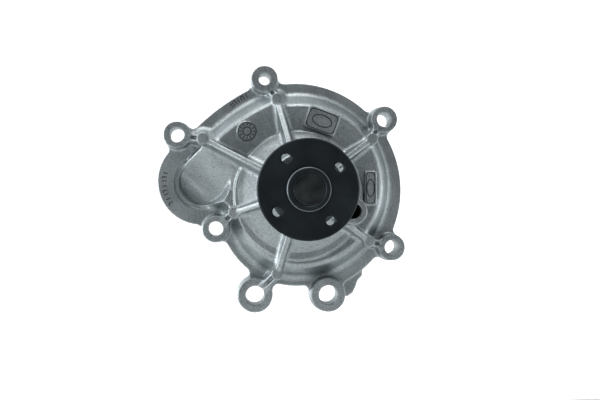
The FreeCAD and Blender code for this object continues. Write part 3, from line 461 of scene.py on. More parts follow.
def shoulder_height(x, z):
    """Height of the dome past the left rib: just under the ramp, or the shoulder beside it."""
    ramp, beyond = ramp_height(x, z)
    ramp = ramp - UNDER_RAMP - np.maximum(beyond, 0.0) / RAMP_WALL_SLOPE
    side_x = x - LOBE[0]
    side_z = z - LOBE[1]
    reach = np.hypot(side_x, side_z)
    share = np.clip((SHOULDER_FADE - side_z) / (2.0 * SHOULDER_FADE), 0.0, 1.0)
    top = SHOULDER_TOP - np.maximum(SHOULDER_REACH - reach, 0.0) * SHOULDER_SLOPE
    return np.where(side_x > 0.0, ramp + np.maximum(top - ramp, 0.0) * share, ramp)


def add_lobe(field):
    """The pocket in the lobe, and the ramp that runs into it from the left rib."""
    def pocket_solid(x, z, h):
        ring = np.hypot(x - LOBE[0], z - LOBE[1]) - POCKET_RADIUS
        return np.maximum(ring - POCKET_DRAFT * (h - POCKET_FLOOR), POCKET_FLOOR - h)

    def ramp_solid(x, z, h):
        height, beyond = ramp_height(x, z)
        wall = (beyond + RAMP_WALL_SLOPE * (h - PLATE_TOP)) * RAMP_WALL_COS
        side = np.maximum(wall, -beside_rib("left", x, z))
        side = np.maximum(side, outline_distance(flange, x, z) + RAMP_INSET)
        return both(side, (h - height) * RAMP_TOP_COS, EDGE["ramp"])

    flange = flange_points()
    field.change(pocket_solid, without, FILLET["pocket"], LOBE_BOX)
    field.change(ramp_solid, join, FILLET["ramp"], LOBE_BOX)


def add_snout(field):
    """The plateau, its cone and the bearing snout."""
    def plateau_solid(x, z, h):
        ring = np.hypot(x - PLATEAU[0], z - PLATEAU[1]) - PLATEAU[2]
        side = ring + (h - PLATEAU_DRAFT_HEIGHT) * PLATEAU_DRAFT
        return np.maximum(both(side, h - PLATEAU_TOP, EDGE["plateau"]), PLATEAU_FOOT - h)

    def cone_solid(x, z, h):
        radius = np.hypot(x, z)
        slope = (h - PLATEAU_TOP - CONE_SLOPE * (CONE_RADIUS - radius)) * CONE_COS
        return np.maximum(slope, CONE_FOOT - h)

    def snout_solid(x, z, h):
        radius = np.hypot(x, z)
        side = radius - SNOUT_RADIUS - SNOUT_DRAFT * (SNOUT_TOP - h)
        nose = (radius - SNOUT_RADIUS + h - SNOUT_TOP + SNOUT_CHAMFER) * CHAMFER_COS
        return np.maximum(np.maximum(side, h - SNOUT_TOP), np.maximum(nose, CONE_FOOT - h))

    def plateau_and_cone(x, z, h):
        inner = np.maximum(np.hypot(x, z) - CONE_RADIUS, cone_solid(x, z, h))
        return join(plateau_solid(x, z, h), inner, FILLET["cone"])

    field.change(plateau_and_cone, join, FILLET["plateau"], PLATEAU_BOX)
    field.change(snout_solid, join, FILLET["snout"], SNOUT_BOX)


def bar_solid(start, end, top_start, top_end, half, draft, floor):
    """A drafted wall between two points whose top falls from one height to the other."""
    length = math.hypot(end[0] - start[0], end[1] - start[1])
    ux = (end[0] - start[0]) / length
    uz = (end[1] - start[1]) / length
    fall = (top_end - top_start) / length

    def solid(x, z, h):
        along = (x - start[0]) * ux + (z - start[1]) * uz
        aside = np.abs((z - start[1]) * ux - (x - start[0]) * uz)
        top = top_start + fall * along
        side = (aside - half - draft * (top - h)) / math.hypot(1.0, draft)
        lid = (h - top) / math.hypot(1.0, fall)
        ends = np.maximum(-along, along - length)
        return np.maximum(np.maximum(both(side, lid, EDGE["bar"]), ends), floor - h)

    return solid


def box_round(points, margin, low, high):
    """A box for Field.change round some (x, z) points."""
    xs = [point[0] for point in points]
    zs = [point[1] for point in points]
    return (min(xs) - margin, min(zs) - margin, low), (max(xs) + margin, max(zs) + margin, high)


def post_solid(x0, z0, radius, top, draft, edge, floor):
    """A round post with draft and a slightly rounded rim."""
    def solid(x, z, h):
        side = np.hypot(x - x0, z - z0) - radius - draft * (top - h)
        return np.maximum(both(side, h - top, edge), floor - h)

    return solid


def add_ribs(field):
    """The six ribs, their links to the bosses and the ejector pads."""
    bosses = {**SMALL_BOSSES, **FEET}
    for name, pad in PADS.items():
        reach = math.hypot(*pad)
        root = (pad[0] * RIB_ROOT_REACH / reach, pad[1] * RIB_ROOT_REACH / reach)
        rib = bar_solid(root, pad, RIB_ROOT_TOP, RIB_END, RIB_HALF, RIB_DRAFT, RIB_FOOT)
        box = box_round([root, pad], margin=9.0, low=5.0, high=46.0)
        field.change(rib, join, FILLET["rib"], box)
        boss = bosses[name][:2]
        gap = math.hypot(boss[0] - pad[0], boss[1] - pad[1])
        across = ((boss[1] - pad[1]) / gap, (pad[0] - boss[0]) / gap)
        tops = (LINK_START - WEB_DROP, LINK_END - WEB_DROP)
        web = bar_solid(pad, boss, *tops, LINK_SPREAD, RIB_DRAFT, LINK_FOOT)
        box = box_round([pad, boss], margin=6.0, low=3.0, high=28.0)
        field.change(web, join, FILLET["web"], box)
        for side in (-LINK_SPREAD, LINK_SPREAD):
            ends = [(x + side * across[0], z + side * across[1]) for x, z in (pad, boss)]
            link = bar_solid(*ends, LINK_START, LINK_END, LINK_HALF, RIB_DRAFT, LINK_FOOT)
            box = box_round(ends, margin=6.0, low=3.0, high=28.0)
            field.change(link, join, FILLET["link"], box)
    for pad in PADS.values():
        post = post_solid(*pad, PAD_RADIUS, PAD_TOP, PAD_DRAFT, EDGE["pad"], PAD_FOOT)
        box = box_round([pad], margin=7.0, low=5.0, high=27.0)
        field.change(post, join, FILLET["pad"], box)


def add_bosses(field):
    """The bolt bosses, without their holes."""
    kinds = [(SMALL_BOSSES, BOSS_RADIUS, BOSS_TOP), (FEET, FOOT_RADIUS, FOOT_TOP)]
    for bosses, radius, top in kinds:
        for x, z, _ in bosses.values():
            post = post_solid(x, z, radius, top, BOSS_DRAFT, EDGE["boss"], 0.0)
            box = box_round([(x, z)], margin=radius + 6.0, low=-1.0, high=top + 3.0)
            field.change(post, join, FILLET["boss"], box)


def add_weep_boss(field):
    """The weep boss and its bridge to the snout."""
    x, z, radius = WEEP
    tops = (BRIDGE_TOP, BRIDGE_TOP)
    bridge = bar_solid((0.0, 0.0), (x, z), *tops, BRIDGE_HALF, BRIDGE_DRAFT, WEEP_FOOT)
    field.change(bridge, join, FILLET["weep"], BRIDGE_BOX)
    post = post_solid(x, z, radius, WEEP_TOP, WEEP_DRAFT, EDGE["weep"], WEEP_FOOT)
    box = box_round([(x, z)], margin=14.0, low=14.0, high=46.0)
    field.change(post, join, FILLET["weep"], box)


def add_fields(field):
    """The raised label fields and the disc of the casting dial."""
    for (x0, z0), (half_x, half_z), degrees in LABELS.values():
        c = math.cos(math.radians(degrees))
        s = math.sin(math.radians(degrees))

        def label_solid(x, z, h, x0=x0, z0=z0, half_x=half_x, half_z=half_z, c=c, s=s):
            u = np.abs((x - x0) * c + (z - z0) * s) - half_x + LABEL_CORNER
            v = np.abs((z - z0) * c - (x - x0) * s) - half_z + LABEL_CORNER
            corner = np.hypot(np.maximum(u, 0.0), np.maximum(v, 0.0)) - LABEL_CORNER
            side = corner + np.minimum(np.maximum(u, v), 0.0)
            return np.maximum(both(side, h - LABEL_TOP, EDGE["label"]), LABEL_FOOT - h)

        box = box_round([(x0, z0)], margin=max(half_x, half_z) + 5.0, low=16.0, high=26.0)
        field.change(label_solid, join, FILLET["label"], box)
    dial = post_solid(*DIAL, DIAL_TOP, DIAL_DRAFT, EDGE["dial"], LABEL_FOOT)
    box = box_round([DIAL[:2]], margin=9.0, low=16.0, high=25.0)
    field.change(dial, join, FILLET["dial"], box)


def cut_wet_side(field):
    """The scroll cavity, the outlet duct and the gasket groove."""
    flat = (field.axes[0][:, None], field.axes[1][None, :])
    cavity = outline_distance(cavity_points(), *flat)[:, :, None]
    groove = np.abs(outline_distance(groove_points(), *flat))[:, :, None]

    def cavity_solid(x, z, h):
        return both(cavity + CAVITY_DRAFT * h, h - CAVITY_TOP, EDGE["cavity"])

    def duct_solid(x, z, h):
        beside, along = rib_axes("left", x, z)
        ends = np.abs(along - DUCT_MIDDLE[0]) - DUCT_HALF[0]
        sides = np.abs(beside - DUCT_MIDDLE[1]) - DUCT_HALF[1]
        top = (h - DUCT_TOP + DUCT_SLOPE * (beside - DUCT_TOP_BESIDE)) * DUCT_COS
        return both(np.maximum(ends, sides), top, EDGE["duct"])

    def groove_solid(x, z, h):
        return np.maximum(groove - GROOVE_HALF, h - GROOVE_DEPTH)

    field.change(cavity_solid, without, FILLET["cavity"])
    field.change(duct_solid, without, FILLET["duct"], DUCT_BOX)
    field.change(groove_solid, without, 0.0)


def cut_bores(field):
    """The seal bore, the bearing bore and its flared mouth, the bolt holes and the weep hole."""
    for radius, low, high in BORES:
        def bore(x, z, h, radius=radius, low=low, high=high):
            return np.maximum(np.hypot(x, z) - radius, np.maximum(low - h, h - high))

        field.change(bore, without, 0.0, BORE_BOX)

    def mouth(x, z, h):
        return (np.hypot(x, z) - BEARING_RADIUS - (h - MOUTH_START)) * CHAMFER_COS

    field.change(mouth, without, 0.0, MOUTH_BOX)
    for x0, z0, hole in (*SMALL_BOSSES.values(), *FEET.values()):
        def drill(x, z, h, x0=x0, z0=z0, hole=hole):
            return np.hypot(x - x0, z - z0) - hole

        box = box_round([(x0, z0)], margin=8.0, low=-3.0, high=21.0)
        field.change(drill, without, 0.0, box)
    weep = post_solid(*WEEP_HOLE, WEEP_HOLE_TOP, 0.0, EDGE["weep_hole"], WEEP_FLOOR)
    box = box_round([WEEP[:2]], margin=8.0, low=25.0, high=46.0)
    field.change(weep, without, FILLET["weep_hole"], box)


def trim_edges(field):
    """Keep the fillets inside the outline of the flange and ear, and off the mounting face."""
    flat = (field.axes[0][:, None], field.axes[1][None, :])
    ear = outline_distance(np.array(EAR), *flat)
    edge = join(outline_distance(flange_points(), *flat), ear, FILLET["ear"])[:, :, None]
    field.change(lambda x, z, h: np.maximum(edge, -h) + EDGE_PLAY, both, 0.0)


# ---------------------------------------------------------------- mesh from a distance field

SURFACE_ROUNDS = 12
SURFACE_PULL = 1.2
CELL_PLAY = 0.1


def crossings(value, axis):
    """Grid edges along an axis that pass through the surface, and where on them it lies."""
    first = [slice(None)] * 3
    second = [slice(None)] * 3
    first[axis] = slice(0, -1)
    second[axis] = slice(1, None)
    a = value[tuple(first)]
    b = value[tuple(second)]
    hit = np.nonzero((a < 0.0) != (b < 0.0))
    share = a[hit] / (a[hit] - b[hit])
    return np.stack(hit, 1), share, a[hit] < 0.0


def mesh_from_field(field):
    """Vertices and quads of the field's zero surface, with sharp edges kept sharp."""
    value = field.value
    shape = np.array(value.shape)
    slopes = np.stack(np.gradient(value, field.step), -1)
    slopes /= np.linalg.norm(slopes, axis=-1, keepdims=True) + 1e-9
    points, normals, cells, quads = [], [], [], []
    for axis in range(3):
        node, share, rising = crossings(value, axis)
        side = [i for i in range(3) if i != axis]
        keep = np.all(node[:, side] > 0, axis=1) & np.all(node[:, side] < shape[side] - 1, axis=1)
        node, share, rising = node[keep], share[keep], rising[keep]
        ahead = node.copy()
        ahead[:, axis] += 1
        normal = slopes[tuple(node.T)] * (1.0 - share)[:, None]
        normal += slopes[tuple(ahead.T)] * share[:, None]
        normal /= np.linalg.norm(normal, axis=1, keepdims=True) + 1e-9
        point = node.astype(float)
        point[:, axis] += share
        ring = []
        for back in ((0, 0), (1, 0), (1, 1), (0, 1)):
            cell = node.copy()
            cell[:, side[0]] -= back[0]
            cell[:, side[1]] -= back[1]
            ring.append(np.ravel_multi_index(tuple(cell.T), value.shape))
        flip = rising if axis != 1 else ~rising
        corners = np.stack(ring, 1)
        corners[flip] = corners[flip][:, ::-1]
        quads.append(corners)
        for cell in ring:
            points.append(point)
            normals.append(normal)
            cells.append(cell)
    points = np.concatenate(points)
    normals = np.concatenate(normals)
    names, cells = np.unique(np.concatenate(cells), return_inverse=True)
    count = np.bincount(cells)
    spot = np.stack([np.bincount(cells, points[:, i]) / count for i in range(3)], 1)
    corner = np.stack(np.unravel_index(names, value.shape), 1).astype(float)
    for _ in range(SURFACE_ROUNDS):
        miss = np.sum(normals * (points - spot[cells]), axis=1)
        push = [np.bincount(cells, normals[:, i] * miss) / count for i in range(3)]
        spot += SURFACE_PULL * np.stack(push, 1)
        spot = np.clip(spot, corner - CELL_PLAY, corner + 1.0 + CELL_PLAY)
    order = np.searchsorted(names, np.concatenate(quads))
    low = np.array([axis[0] for axis in field.axes])
    return low + spot * field.step, order


def make_mesh(name, vertices, faces, smooth=True):
    """An object from vertices and faces in metres, in the pump's frame."""
    mesh = bpy.data.meshes.new(name)
    mesh.from_pydata(vertices.tolist(), [], faces.tolist())
    mesh.validate()
    mesh.update()
    mesh.polygons.foreach_set("use_smooth", [smooth] * len(mesh.polygons))
    piece = bpy.data.objects.new(name, mesh)
    bpy.context.scene.collection.objects.link(piece)
    return piece


def build_housing():
    """The die-cast body as one filleted skin."""
    field = Field(*FIELD_BOX, GRID_STEP)
    add_plate_and_dome(field)
    add_lobe(field)
    add_snout(field)
    add_ribs(field)
    add_bosses(field)
    add_weep_boss(field)
    add_fields(field)
    cut_wet_side(field)
    cut_bores(field)
    trim_edges(field)
    spots, quads = mesh_from_field(field)
    vertices = np.stack([spots[:, 0], -spots[:, 2], spots[:, 1]], 1) * MM
    piece = make_mesh("housing_skin", vertices, quads)
    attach(piece, "housing")
    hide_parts("pump_housing")
    return piece


# ---------------------------------------------------------------- raised casting marks

MARK_HALF = 0.32
MARK_TOP_SHARE = 0.55
MARK_RISE = 0.3
MARK_SINK = 0.1
STROKE_HALF = 1.3
SIDE_STROKE = 70.0
RIM_MARK_RADIUS = 62.6
RIM_MARKS = [118.4, 120.2, 121.6, 123.4, 125.0, 126.6, 127.8]
LOBE_MARK_RADIUS = 21.6
LOBE_MARKS = [166.0, 172.0, 178.0, 186.0, 193.0, 199.0, 207.0, 214.0]
DIAL_RINGS = (0.92, 0.42)
DIAL_TICKS = 12
DIAL_TICK_SPAN = (0.56, 0.82)
FRAME_INSET = 0.8
FRAME_POWER = 0.35
FRAME_POINTS = 64
OVAL_SHARES = (0.62, 0.52)


def ridge(path, base, top, closed=False):
    """A low ridge with sloping sides along a path of (x, z) points."""
    path = np.array(path, float)
    ahead = np.roll(path, -1, axis=0) - path
    behind = path - np.roll(path, 1, axis=0)
    if not closed:
        ahead[-1] = behind[-1]
        behind[0] = ahead[0]
    way = ahead / np.linalg.norm(ahead, axis=1, keepdims=True)
    way += behind / np.linalg.norm(behind, axis=1, keepdims=True)
    way /= np.linalg.norm(way, axis=1, keepdims=True)
    aside = np.stack([way[:, 1], -way[:, 0]], 1)
    inner = MARK_TOP_SHARE * MARK_HALF
    rows = [(MARK_HALF, base), (inner, top), (-inner, top), (-MARK_HALF, base)]
    count = len(path)
    vertices = []
    for offset, height in rows:
        spot = path + aside * offset
        vertices.append(np.stack([spot[:, 0], np.full(count, -height), spot[:, 1]], 1))
    faces = []
    for row in range(3):
        for i in range(count if closed else count - 1):
            j = (i + 1) % count
            faces.append([row * count + i, row * count + j,
                          (row + 1) * count + j, (row + 1) * count + i])
    if not closed:
        faces.append([0, count, 2 * count, 3 * count])
        faces.append([4 * count - 1, 3 * count - 1, 2 * count - 1, count - 1])
    return np.concatenate(vertices), np.array(faces)


def ring_path(x, z, half_x, half_z, degrees=0.0, power=1.0, count=40):
    """Points of an oval, or of a rounded box when power is below one."""
    c = math.cos(math.radians(degrees))
    s = math.sin(math.radians(degrees))
    path = []
    for i in range(count):
        a = 2.0 * math.pi * i / count
        u = half_x * math.copysign(abs(math.cos(a)) ** power, math.cos(a))
        v = half_z * math.copysign(abs(math.sin(a)) ** power, math.sin(a))
        path.append((x + u * c - v * s, z + u * s + v * c))
    return path


def polar(x, z, radius, degrees):
    """A point at a distance and direction from another."""
    a = math.radians(degrees)
    return x + radius * math.cos(a), z + radius * math.sin(a)


def stroke_marks(x, z, radius, directions, base):
    """A row of plain upright strokes round a centre, every third with a short side stroke."""
    strokes = []
    top = base + 2.0 * MARK_RISE
    for i, direction in enumerate(directions):
        inner = polar(x, z, radius - STROKE_HALF, direction)
        outer = polar(x, z, radius + STROKE_HALF, direction)
        strokes.append(ridge([inner, outer], base, top))
        if i % 3 == 1:
            side = polar(x, z, radius + STROKE_HALF, direction + SIDE_STROKE / radius)
            strokes.append(ridge([outer, side], base, top))
    return strokes


def build_marks():
    """The dial's ring and ticks, the frames of the label fields and the plain strokes."""
    parts = []
    x, z, radius = DIAL
    low = DIAL_TOP - MARK_SINK
    high = DIAL_TOP + MARK_RISE
    for share in DIAL_RINGS:
        path = ring_path(x, z, radius * share, radius * share)
        parts.append(ridge(path, low, high, closed=True))
    for i in range(DIAL_TICKS):
        direction = 360.0 * i / DIAL_TICKS
        ends = [polar(x, z, radius * share, direction) for share in DIAL_TICK_SPAN]
        parts.append(ridge(ends, low, high))
    low = LABEL_TOP - MARK_SINK
    high = LABEL_TOP + MARK_RISE
    for (x, z), (half_x, half_z), degrees in LABELS.values():
        inset = (half_x - FRAME_INSET, half_z - FRAME_INSET)
        border = ring_path(x, z, *inset, degrees, FRAME_POWER, FRAME_POINTS)
        parts.append(ridge(border, low, high, closed=True))
        oval = ring_path(x, z, OVAL_SHARES[0] * half_x, OVAL_SHARES[1] * half_z, degrees)
        parts.append(ridge(oval, low, high, closed=True))
    base = PLATE_TOP - MARK_RISE
    parts += stroke_marks(*RIM[:2], RIM_MARK_RADIUS, RIM_MARKS, base)
    parts += stroke_marks(*LOBE, LOBE_MARK_RADIUS, LOBE_MARKS, base)
    vertices, faces, start = [], [], 0
    for spots, quads in parts:
        vertices.append(spots)
        faces.append(quads + start)
        start += len(spots)
    vertices = np.concatenate(vertices) * MM
    piece = make_mesh("casting_marks", vertices, np.concatenate(faces), smooth=False)
    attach(piece, "housing")
    return piece


# ---------------------------------------------------------------- materials

BAND_REACH = 0.03
# levels between which most of a pattern lies
PATTERN_LOW = 0.3
PATTERN_HIGH = 0.7
# the colour sockets of a Mix node: two inputs and the result
MIX_FIRST = 6
MIX_SECOND = 7
MIX_RESULT = 2


class Look:
    """A procedural material under construction around one Principled shader."""

    def __init__(self, name, metallic=0.0, coat=0.0, specular=0.5):
        self.material = bpy.data.materials.new(name)
        self.material.use_nodes = True
        self.tree = self.material.node_tree
        self.shader = self.tree.nodes["Principled BSDF"]
        self.shader.inputs["Metallic"].default_value = metallic
        self.shader.inputs["Coat Weight"].default_value = coat
        self.shader.inputs["Specular IOR Level"].default_value = specular
        self.place = self.add("ShaderNodeTexCoord").outputs["Object"]
        self.bump = None

    def add(self, kind, **settings):
        """A new node with some of its settings changed."""
        node = self.tree.nodes.new(kind)
        for key, value in settings.items():
            setattr(node, key, value)
        return node

    def link(self, source, target):
        """Join an output to an input."""
        self.tree.links.new(source, target)

    def stretched(self, scale):
        """The object's coordinates stretched along its axes."""
        mapping = self.add("ShaderNodeMapping")
        mapping.inputs["Scale"].default_value = scale
        self.link(self.place, mapping.inputs["Vector"])
        return mapping.outputs["Vector"]

    def noise(self, scale, detail=3.0, roughness=0.5):
        """A cloudy pattern from 0 to 1."""
        node = self.add("ShaderNodeTexNoise")
        node.inputs["Scale"].default_value = scale
        node.inputs["Detail"].default_value = detail
        node.inputs["Roughness"].default_value = roughness
        self.link(self.place, node.inputs["Vector"])
        return node.outputs["Fac"]

    def rings(self, scale):
        """Turning marks: fine rings round the shaft axis."""
        squash = self.stretched((1.0, 0.02, 1.0))
        wave = self.add("ShaderNodeTexWave", wave_type="RINGS", rings_direction="Y")
        wave.inputs["Scale"].default_value = scale
        wave.inputs["Distortion"].default_value = 1.5
        wave.inputs["Detail"].default_value = 2.0
        self.link(squash, wave.inputs["Vector"])
        return wave.outputs["Fac"]

    def ramp(self, source, stops):
        """A colour for each level of a pattern, given as (level, grey or colour) stops."""
        node = self.add("ShaderNodeValToRGB")
        elements = node.color_ramp.elements
        while len(elements) < len(stops):
            elements.new(0.5)
        for element, (level, colour) in zip(elements, stops):
            element.position = level
            rgb = colour if isinstance(colour, tuple) else (colour, colour, colour)
            element.color = (*rgb, 1.0)
        self.link(source, node.inputs["Fac"])
        return node.outputs["Color"]

    def multiply(self, first, second):
        """The product of two colours."""
        node = self.add("ShaderNodeMix", data_type="RGBA", blend_type="MULTIPLY")
        node.inputs["Factor"].default_value = 1.0
        self.link(first, node.inputs[MIX_FIRST])
        self.link(second, node.inputs[MIX_SECOND])
        return node.outputs[MIX_RESULT]

    def blend(self, share, first, second):
        """The first colour, or the second where the share is one."""
        node = self.add("ShaderNodeMix", data_type="RGBA")
        self.link(share, node.inputs[0])
        self.link(first, node.inputs[MIX_FIRST])
        self.link(second, node.inputs[MIX_SECOND])
        return node.outputs[MIX_RESULT]

    def bands(self, edges, soft=0.00008):
        """One between each pair of radii from the shaft axis, in metres, and zero elsewhere."""
        length = self.add("ShaderNodeVectorMath", operation="LENGTH")
        self.link(self.stretched((1.0, 0.0, 1.0)), length.inputs[0])
        reach = self.add("ShaderNodeMapRange")
        reach.inputs["From Max"].default_value = BAND_REACH
        self.link(length.outputs["Value"], reach.inputs["Value"])
        stops = []
        for low, high in edges:
            stops += [(low - soft, 0.0), (low, 1.0), (high, 1.0), (high + soft, 0.0)]
        stops = [(radius / BAND_REACH, level) for radius, level in stops]
        return self.ramp(reach.outputs["Result"], stops)

    def colour(self, source):
        """Base colour from a pattern."""
        self.link(source, self.shader.inputs["Base Color"])

    def roughness(self, source, low, high):
        """Roughness that follows a pattern between two levels."""
        node = self.add("ShaderNodeMapRange")
        node.inputs["From Min"].default_value = PATTERN_LOW
        node.inputs["From Max"].default_value = PATTERN_HIGH
        node.inputs["To Min"].default_value = low
        node.inputs["To Max"].default_value = high
        self.link(source, node.inputs["Value"])
        self.link(node.outputs["Result"], self.shader.inputs["Roughness"])

    def relief(self, source, strength, depth):
        """Surface relief from a pattern, on top of any relief so far."""
        node = self.add("ShaderNodeBump")
        node.inputs["Strength"].default_value = strength
        node.inputs["Distance"].default_value = depth
        self.link(source, node.inputs["Height"])
        if self.bump:
            self.link(self.bump, node.inputs["Normal"])
        self.bump = node.outputs["Normal"]
        self.link(self.bump, self.shader.inputs["Normal"])


def cast_aluminium():
    """Die-cast aluminium: grey, grainy, with a skin that varies from place to place."""
    look = Look("cast_aluminium", metallic=0.85)
    grain = look.noise(1150.0, 4.0, 0.75)
    cloud = look.noise(75.0, 4.0, 0.55)
    tint = look.ramp(cloud, [(0.3, (0.56, 0.595, 0.605)), (0.7, (0.69, 0.725, 0.735))])
    speckle = look.ramp(grain, [(0.32, 0.52), (0.47, 0.83), (0.60, 0.95), (0.70, 1.0)])
    look.colour(look.multiply(tint, speckle))
    look.roughness(cloud, 0.30, 0.41)
    look.relief(look.noise(420.0, 3.0), 0.4, 0.0003)
    look.relief(grain, 0.6, 0.00025)
    return look.material


def painted_shade_cast():
    """The same casting, painted near black on its raised marks: painted shade that stands in for the
    shadow round them.
    """
    look = Look("cast_aluminium_marks_painted_shade", metallic=0.7)
    grain = look.noise(1400.0, 4.0, 0.7)
    # painted shade: the marks are coloured near black so they read as shadowed strokes
    look.colour(look.ramp(grain, [(0.3, (0.09, 0.095, 0.10)), (0.7, (0.21, 0.215, 0.22))]))
    look.roughness(grain, 0.5, 0.65)
    look.relief(grain, 0.4, 0.0002)
    return look.material


def moulded(name, dark, light, rough, specular=0.4, scale=900.0):
    """Matt rubber, carbon or plastic with a fine moulded texture."""
    look = Look(name, specular=specular)
    cloud = look.noise(120.0, 4.0)
    look.colour(look.ramp(cloud, [(0.3, dark), (0.7, light)]))
    look.roughness(cloud, rough - 0.06, rough + 0.08)
    look.relief(look.noise(scale, 3.0), 0.3, 0.0001)
    return look.material


def turned_metal(name, dark, light, rough, marks=900.0, depth=0.00002):
    """Bright metal with turning marks round the shaft axis."""
    look = Look(name, metallic=1.0)
    rings = look.rings(marks)
    cloud = look.noise(160.0, 4.0)
    tint = look.ramp(cloud, [(0.3, dark), (0.7, light)])
    look.colour(look.multiply(tint, look.ramp(rings, [(0.2, 0.86), (0.8, 1.0)])))
    look.roughness(cloud, rough - 0.05, rough + 0.06)
    look.relief(rings, 0.25, depth)
    return look.material


def black_steel():
    """Phosphated, oiled steel of the pulley hub: near black with a cool sheen, and grey rings at its
    machined edges that are partly bare metal and partly painted highlight.
    """
    look = Look("black_hub_steel", metallic=0.35, coat=0.15, specular=0.6)
    look.shader.inputs["Coat Roughness"].default_value = 0.3
    cloud = look.noise(55.0, 5.0, 0.6)
    fine = look.noise(2600.0, 3.0, 0.6)
    tint = look.ramp(cloud, [(0.3, (0.036, 0.045, 0.052)), (0.7, (0.070, 0.084, 0.095))])
    dull = look.multiply(tint, look.ramp(fine, [(0.3, 0.65), (0.7, 1.0)]))
    # grey rings on the spigot's chamfer and close round the shaft: partly bare machined metal, partly
    # a painted highlight for the glint those edges catch
    worn_and_glint = look.ramp(fine, [(0.3, (0.22, 0.24, 0.26)), (0.7, (0.42, 0.45, 0.47))])
    edges = look.bands([(0.01085, 0.01112), (0.0088, 0.0090)])
    look.colour(look.blend(edges, dull, worn_and_glint))
    look.roughness(cloud, 0.34, 0.46)
    look.relief(look.rings(520.0), 0.12, 0.00003)
    look.relief(fine, 0.25, 0.00005)
    return look.material


def shaft_steel():
    """Ground shaft, blackened by oil at its end, with a grey ring near its outer edge that is partly
    bare metal and partly painted highlight.
    """
    look = Look("shaft_steel", metallic=0.4)
    cloud = look.noise(140.0, 5.0)
    rings = look.rings(1300.0)
    tint = look.ramp(cloud, [(0.3, (0.045, 0.050, 0.052)), (0.7, (0.115, 0.122, 0.126))])
    dull = look.multiply(tint, look.ramp(rings, [(0.2, 0.75), (0.8, 1.0)]))
    # grey ring near the shaft's outer edge: partly bare metal, partly a painted highlight for the
    # glint on that edge
    worn_and_glint = look.ramp(cloud, [(0.3, (0.25, 0.27, 0.29)), (0.7, (0.42, 0.44, 0.46))])
    look.colour(look.blend(look.bands([(0.00755, 0.0079)]), dull, worn_and_glint))
    look.roughness(cloud, 0.30, 0.42)
    look.relief(rings, 0.2, 0.00002)
    return look.material


def sintered_bronze():
    """Bronze grains pressed together, with pores between them."""
    look = Look("filter_bronze", metallic=0.9)
    pores = look.add("ShaderNodeTexVoronoi")
    pores.inputs["Scale"].default_value = 2200.0
    look.link(look.place, pores.inputs["Vector"])
    distance = pores.outputs["Distance"]
    look.colour(look.ramp(distance, [(0.1, (0.07, 0.05, 0.03)), (0.7, (0.015, 0.01, 0.006))]))
    look.roughness(distance, 0.45, 0.65)
    look.relief(distance, 0.6, -0.0002)
    return look.material


LOOKS = {
    "cast_aluminium": cast_aluminium(),
    # the raised marks get a near-black casting look: painted shade
    "casting_marks": painted_shade_cast(),
    "gasket_rubber": moulded("gasket_rubber", 0.018, 0.034, 0.62),
    "filter_bronze": sintered_bronze(),
    "bearing_steel": turned_metal("bearing_steel", 0.50, 0.60, 0.24),
    "seal_rubber": moulded("seal_rubber", 0.014, 0.026, 0.6),
    "seal_stainless": turned_metal("seal_stainless", 0.54, 0.64, 0.28, 500.0),
    "seal_carbon": moulded("seal_carbon", 0.03, 0.05, 0.42, 0.5, 1800.0),
    "seal_ceramic": moulded("seal_ceramic", 0.08, 0.11, 0.2, 0.6, 2400.0),
    "spring_steel": turned_metal("spring_steel", 0.42, 0.54, 0.3, 1400.0),
    "shaft_steel": shaft_steel(),
    "bush_steel": turned_metal("bush_steel", 0.42, 0.52, 0.32, 700.0),
    "impeller_plastic": moulded("impeller_plastic", 0.028, 0.052, 0.5, 0.45, 1500.0),
    "black_hub_steel": black_steel(),
    "cage_plastic": moulded("cage_plastic", (0.27, 0.19, 0.09), (0.38, 0.28, 0.14), 0.48),
}


def dress_nodes():
    """Give every CAD node the look of its material slot."""
    for part in frame["record"]["subparts"]:
        node = frame["nodes"][part["node"]]
        look = LOOKS[part["material_slot"]]
        if not node.material_slots:
            node.data.materials.append(look)
        for place in node.material_slots:
            place.material = look


# ---------------------------------------------------------------- camera, lights and stage

CAMERA_PLACE = (-0.0393, -0.500, -0.0053)
CAMERA_YAW = -4.76
CAMERA_LENS = 50.4
CAMERA_SENSOR = 36.0
FLOOR_LEVEL = -0.25
FLOOR_HALF = 0.9
FLOOR_BACK = 0.5
LIGHT_AIM = (0.0, -0.02, 0.0)
TENT_TINT = (0.94, 0.98, 1.0, 1.0)
TENT_BRIGHT_SIDE = (-0.4, 0.0, -0.92)
# spans of the tent's brightness: (from, to, level at from, level at to) along Y or the bright side
TENT_DEPTH = (-0.97, 0.1, 0.19, 1.35)
TENT_BEHIND = (0.5, 1.0, 1.0, 0.3)
TENT_SIDES = (-1.0, 1.0, 0.38, 2.1)

# name: (place, size, power), each aimed at the pump
SOFTBOXES = {
    "low_left": ((-0.42, -0.30, -0.46), 0.40, 2.2),
    "top": ((-0.05, -0.25, 0.62), 0.40, 0.8),
}


def add_camera():
    """The camera, level and turned slightly to the right."""
    data = bpy.data.cameras.new("camera")
    data.lens = CAMERA_LENS
    data.sensor_width = CAMERA_SENSOR
    data.clip_start = 0.01
    camera = bpy.data.objects.new("camera", data)
    camera.location = CAMERA_PLACE
    camera.rotation_euler = (math.radians(90.0), 0.0, math.radians(CAMERA_YAW))
    bpy.context.scene.collection.objects.link(camera)
    bpy.context.scene.camera = camera


def add_softboxes():
    """Two large soft lights, below left and above."""
    for name, (place, size, power) in SOFTBOXES.items():
        data = bpy.data.lights.new(f"softbox_{name}", "AREA")
        data.shape = "SQUARE"
        data.size = size
        data.energy = power
        light = bpy.data.objects.new(f"softbox_{name}", data)
        light.location = place
        aim = Vector(LIGHT_AIM) - light.location
        light.rotation_euler = aim.to_track_quat("-Z", "Y").to_euler()
        bpy.context.scene.collection.objects.link(light)


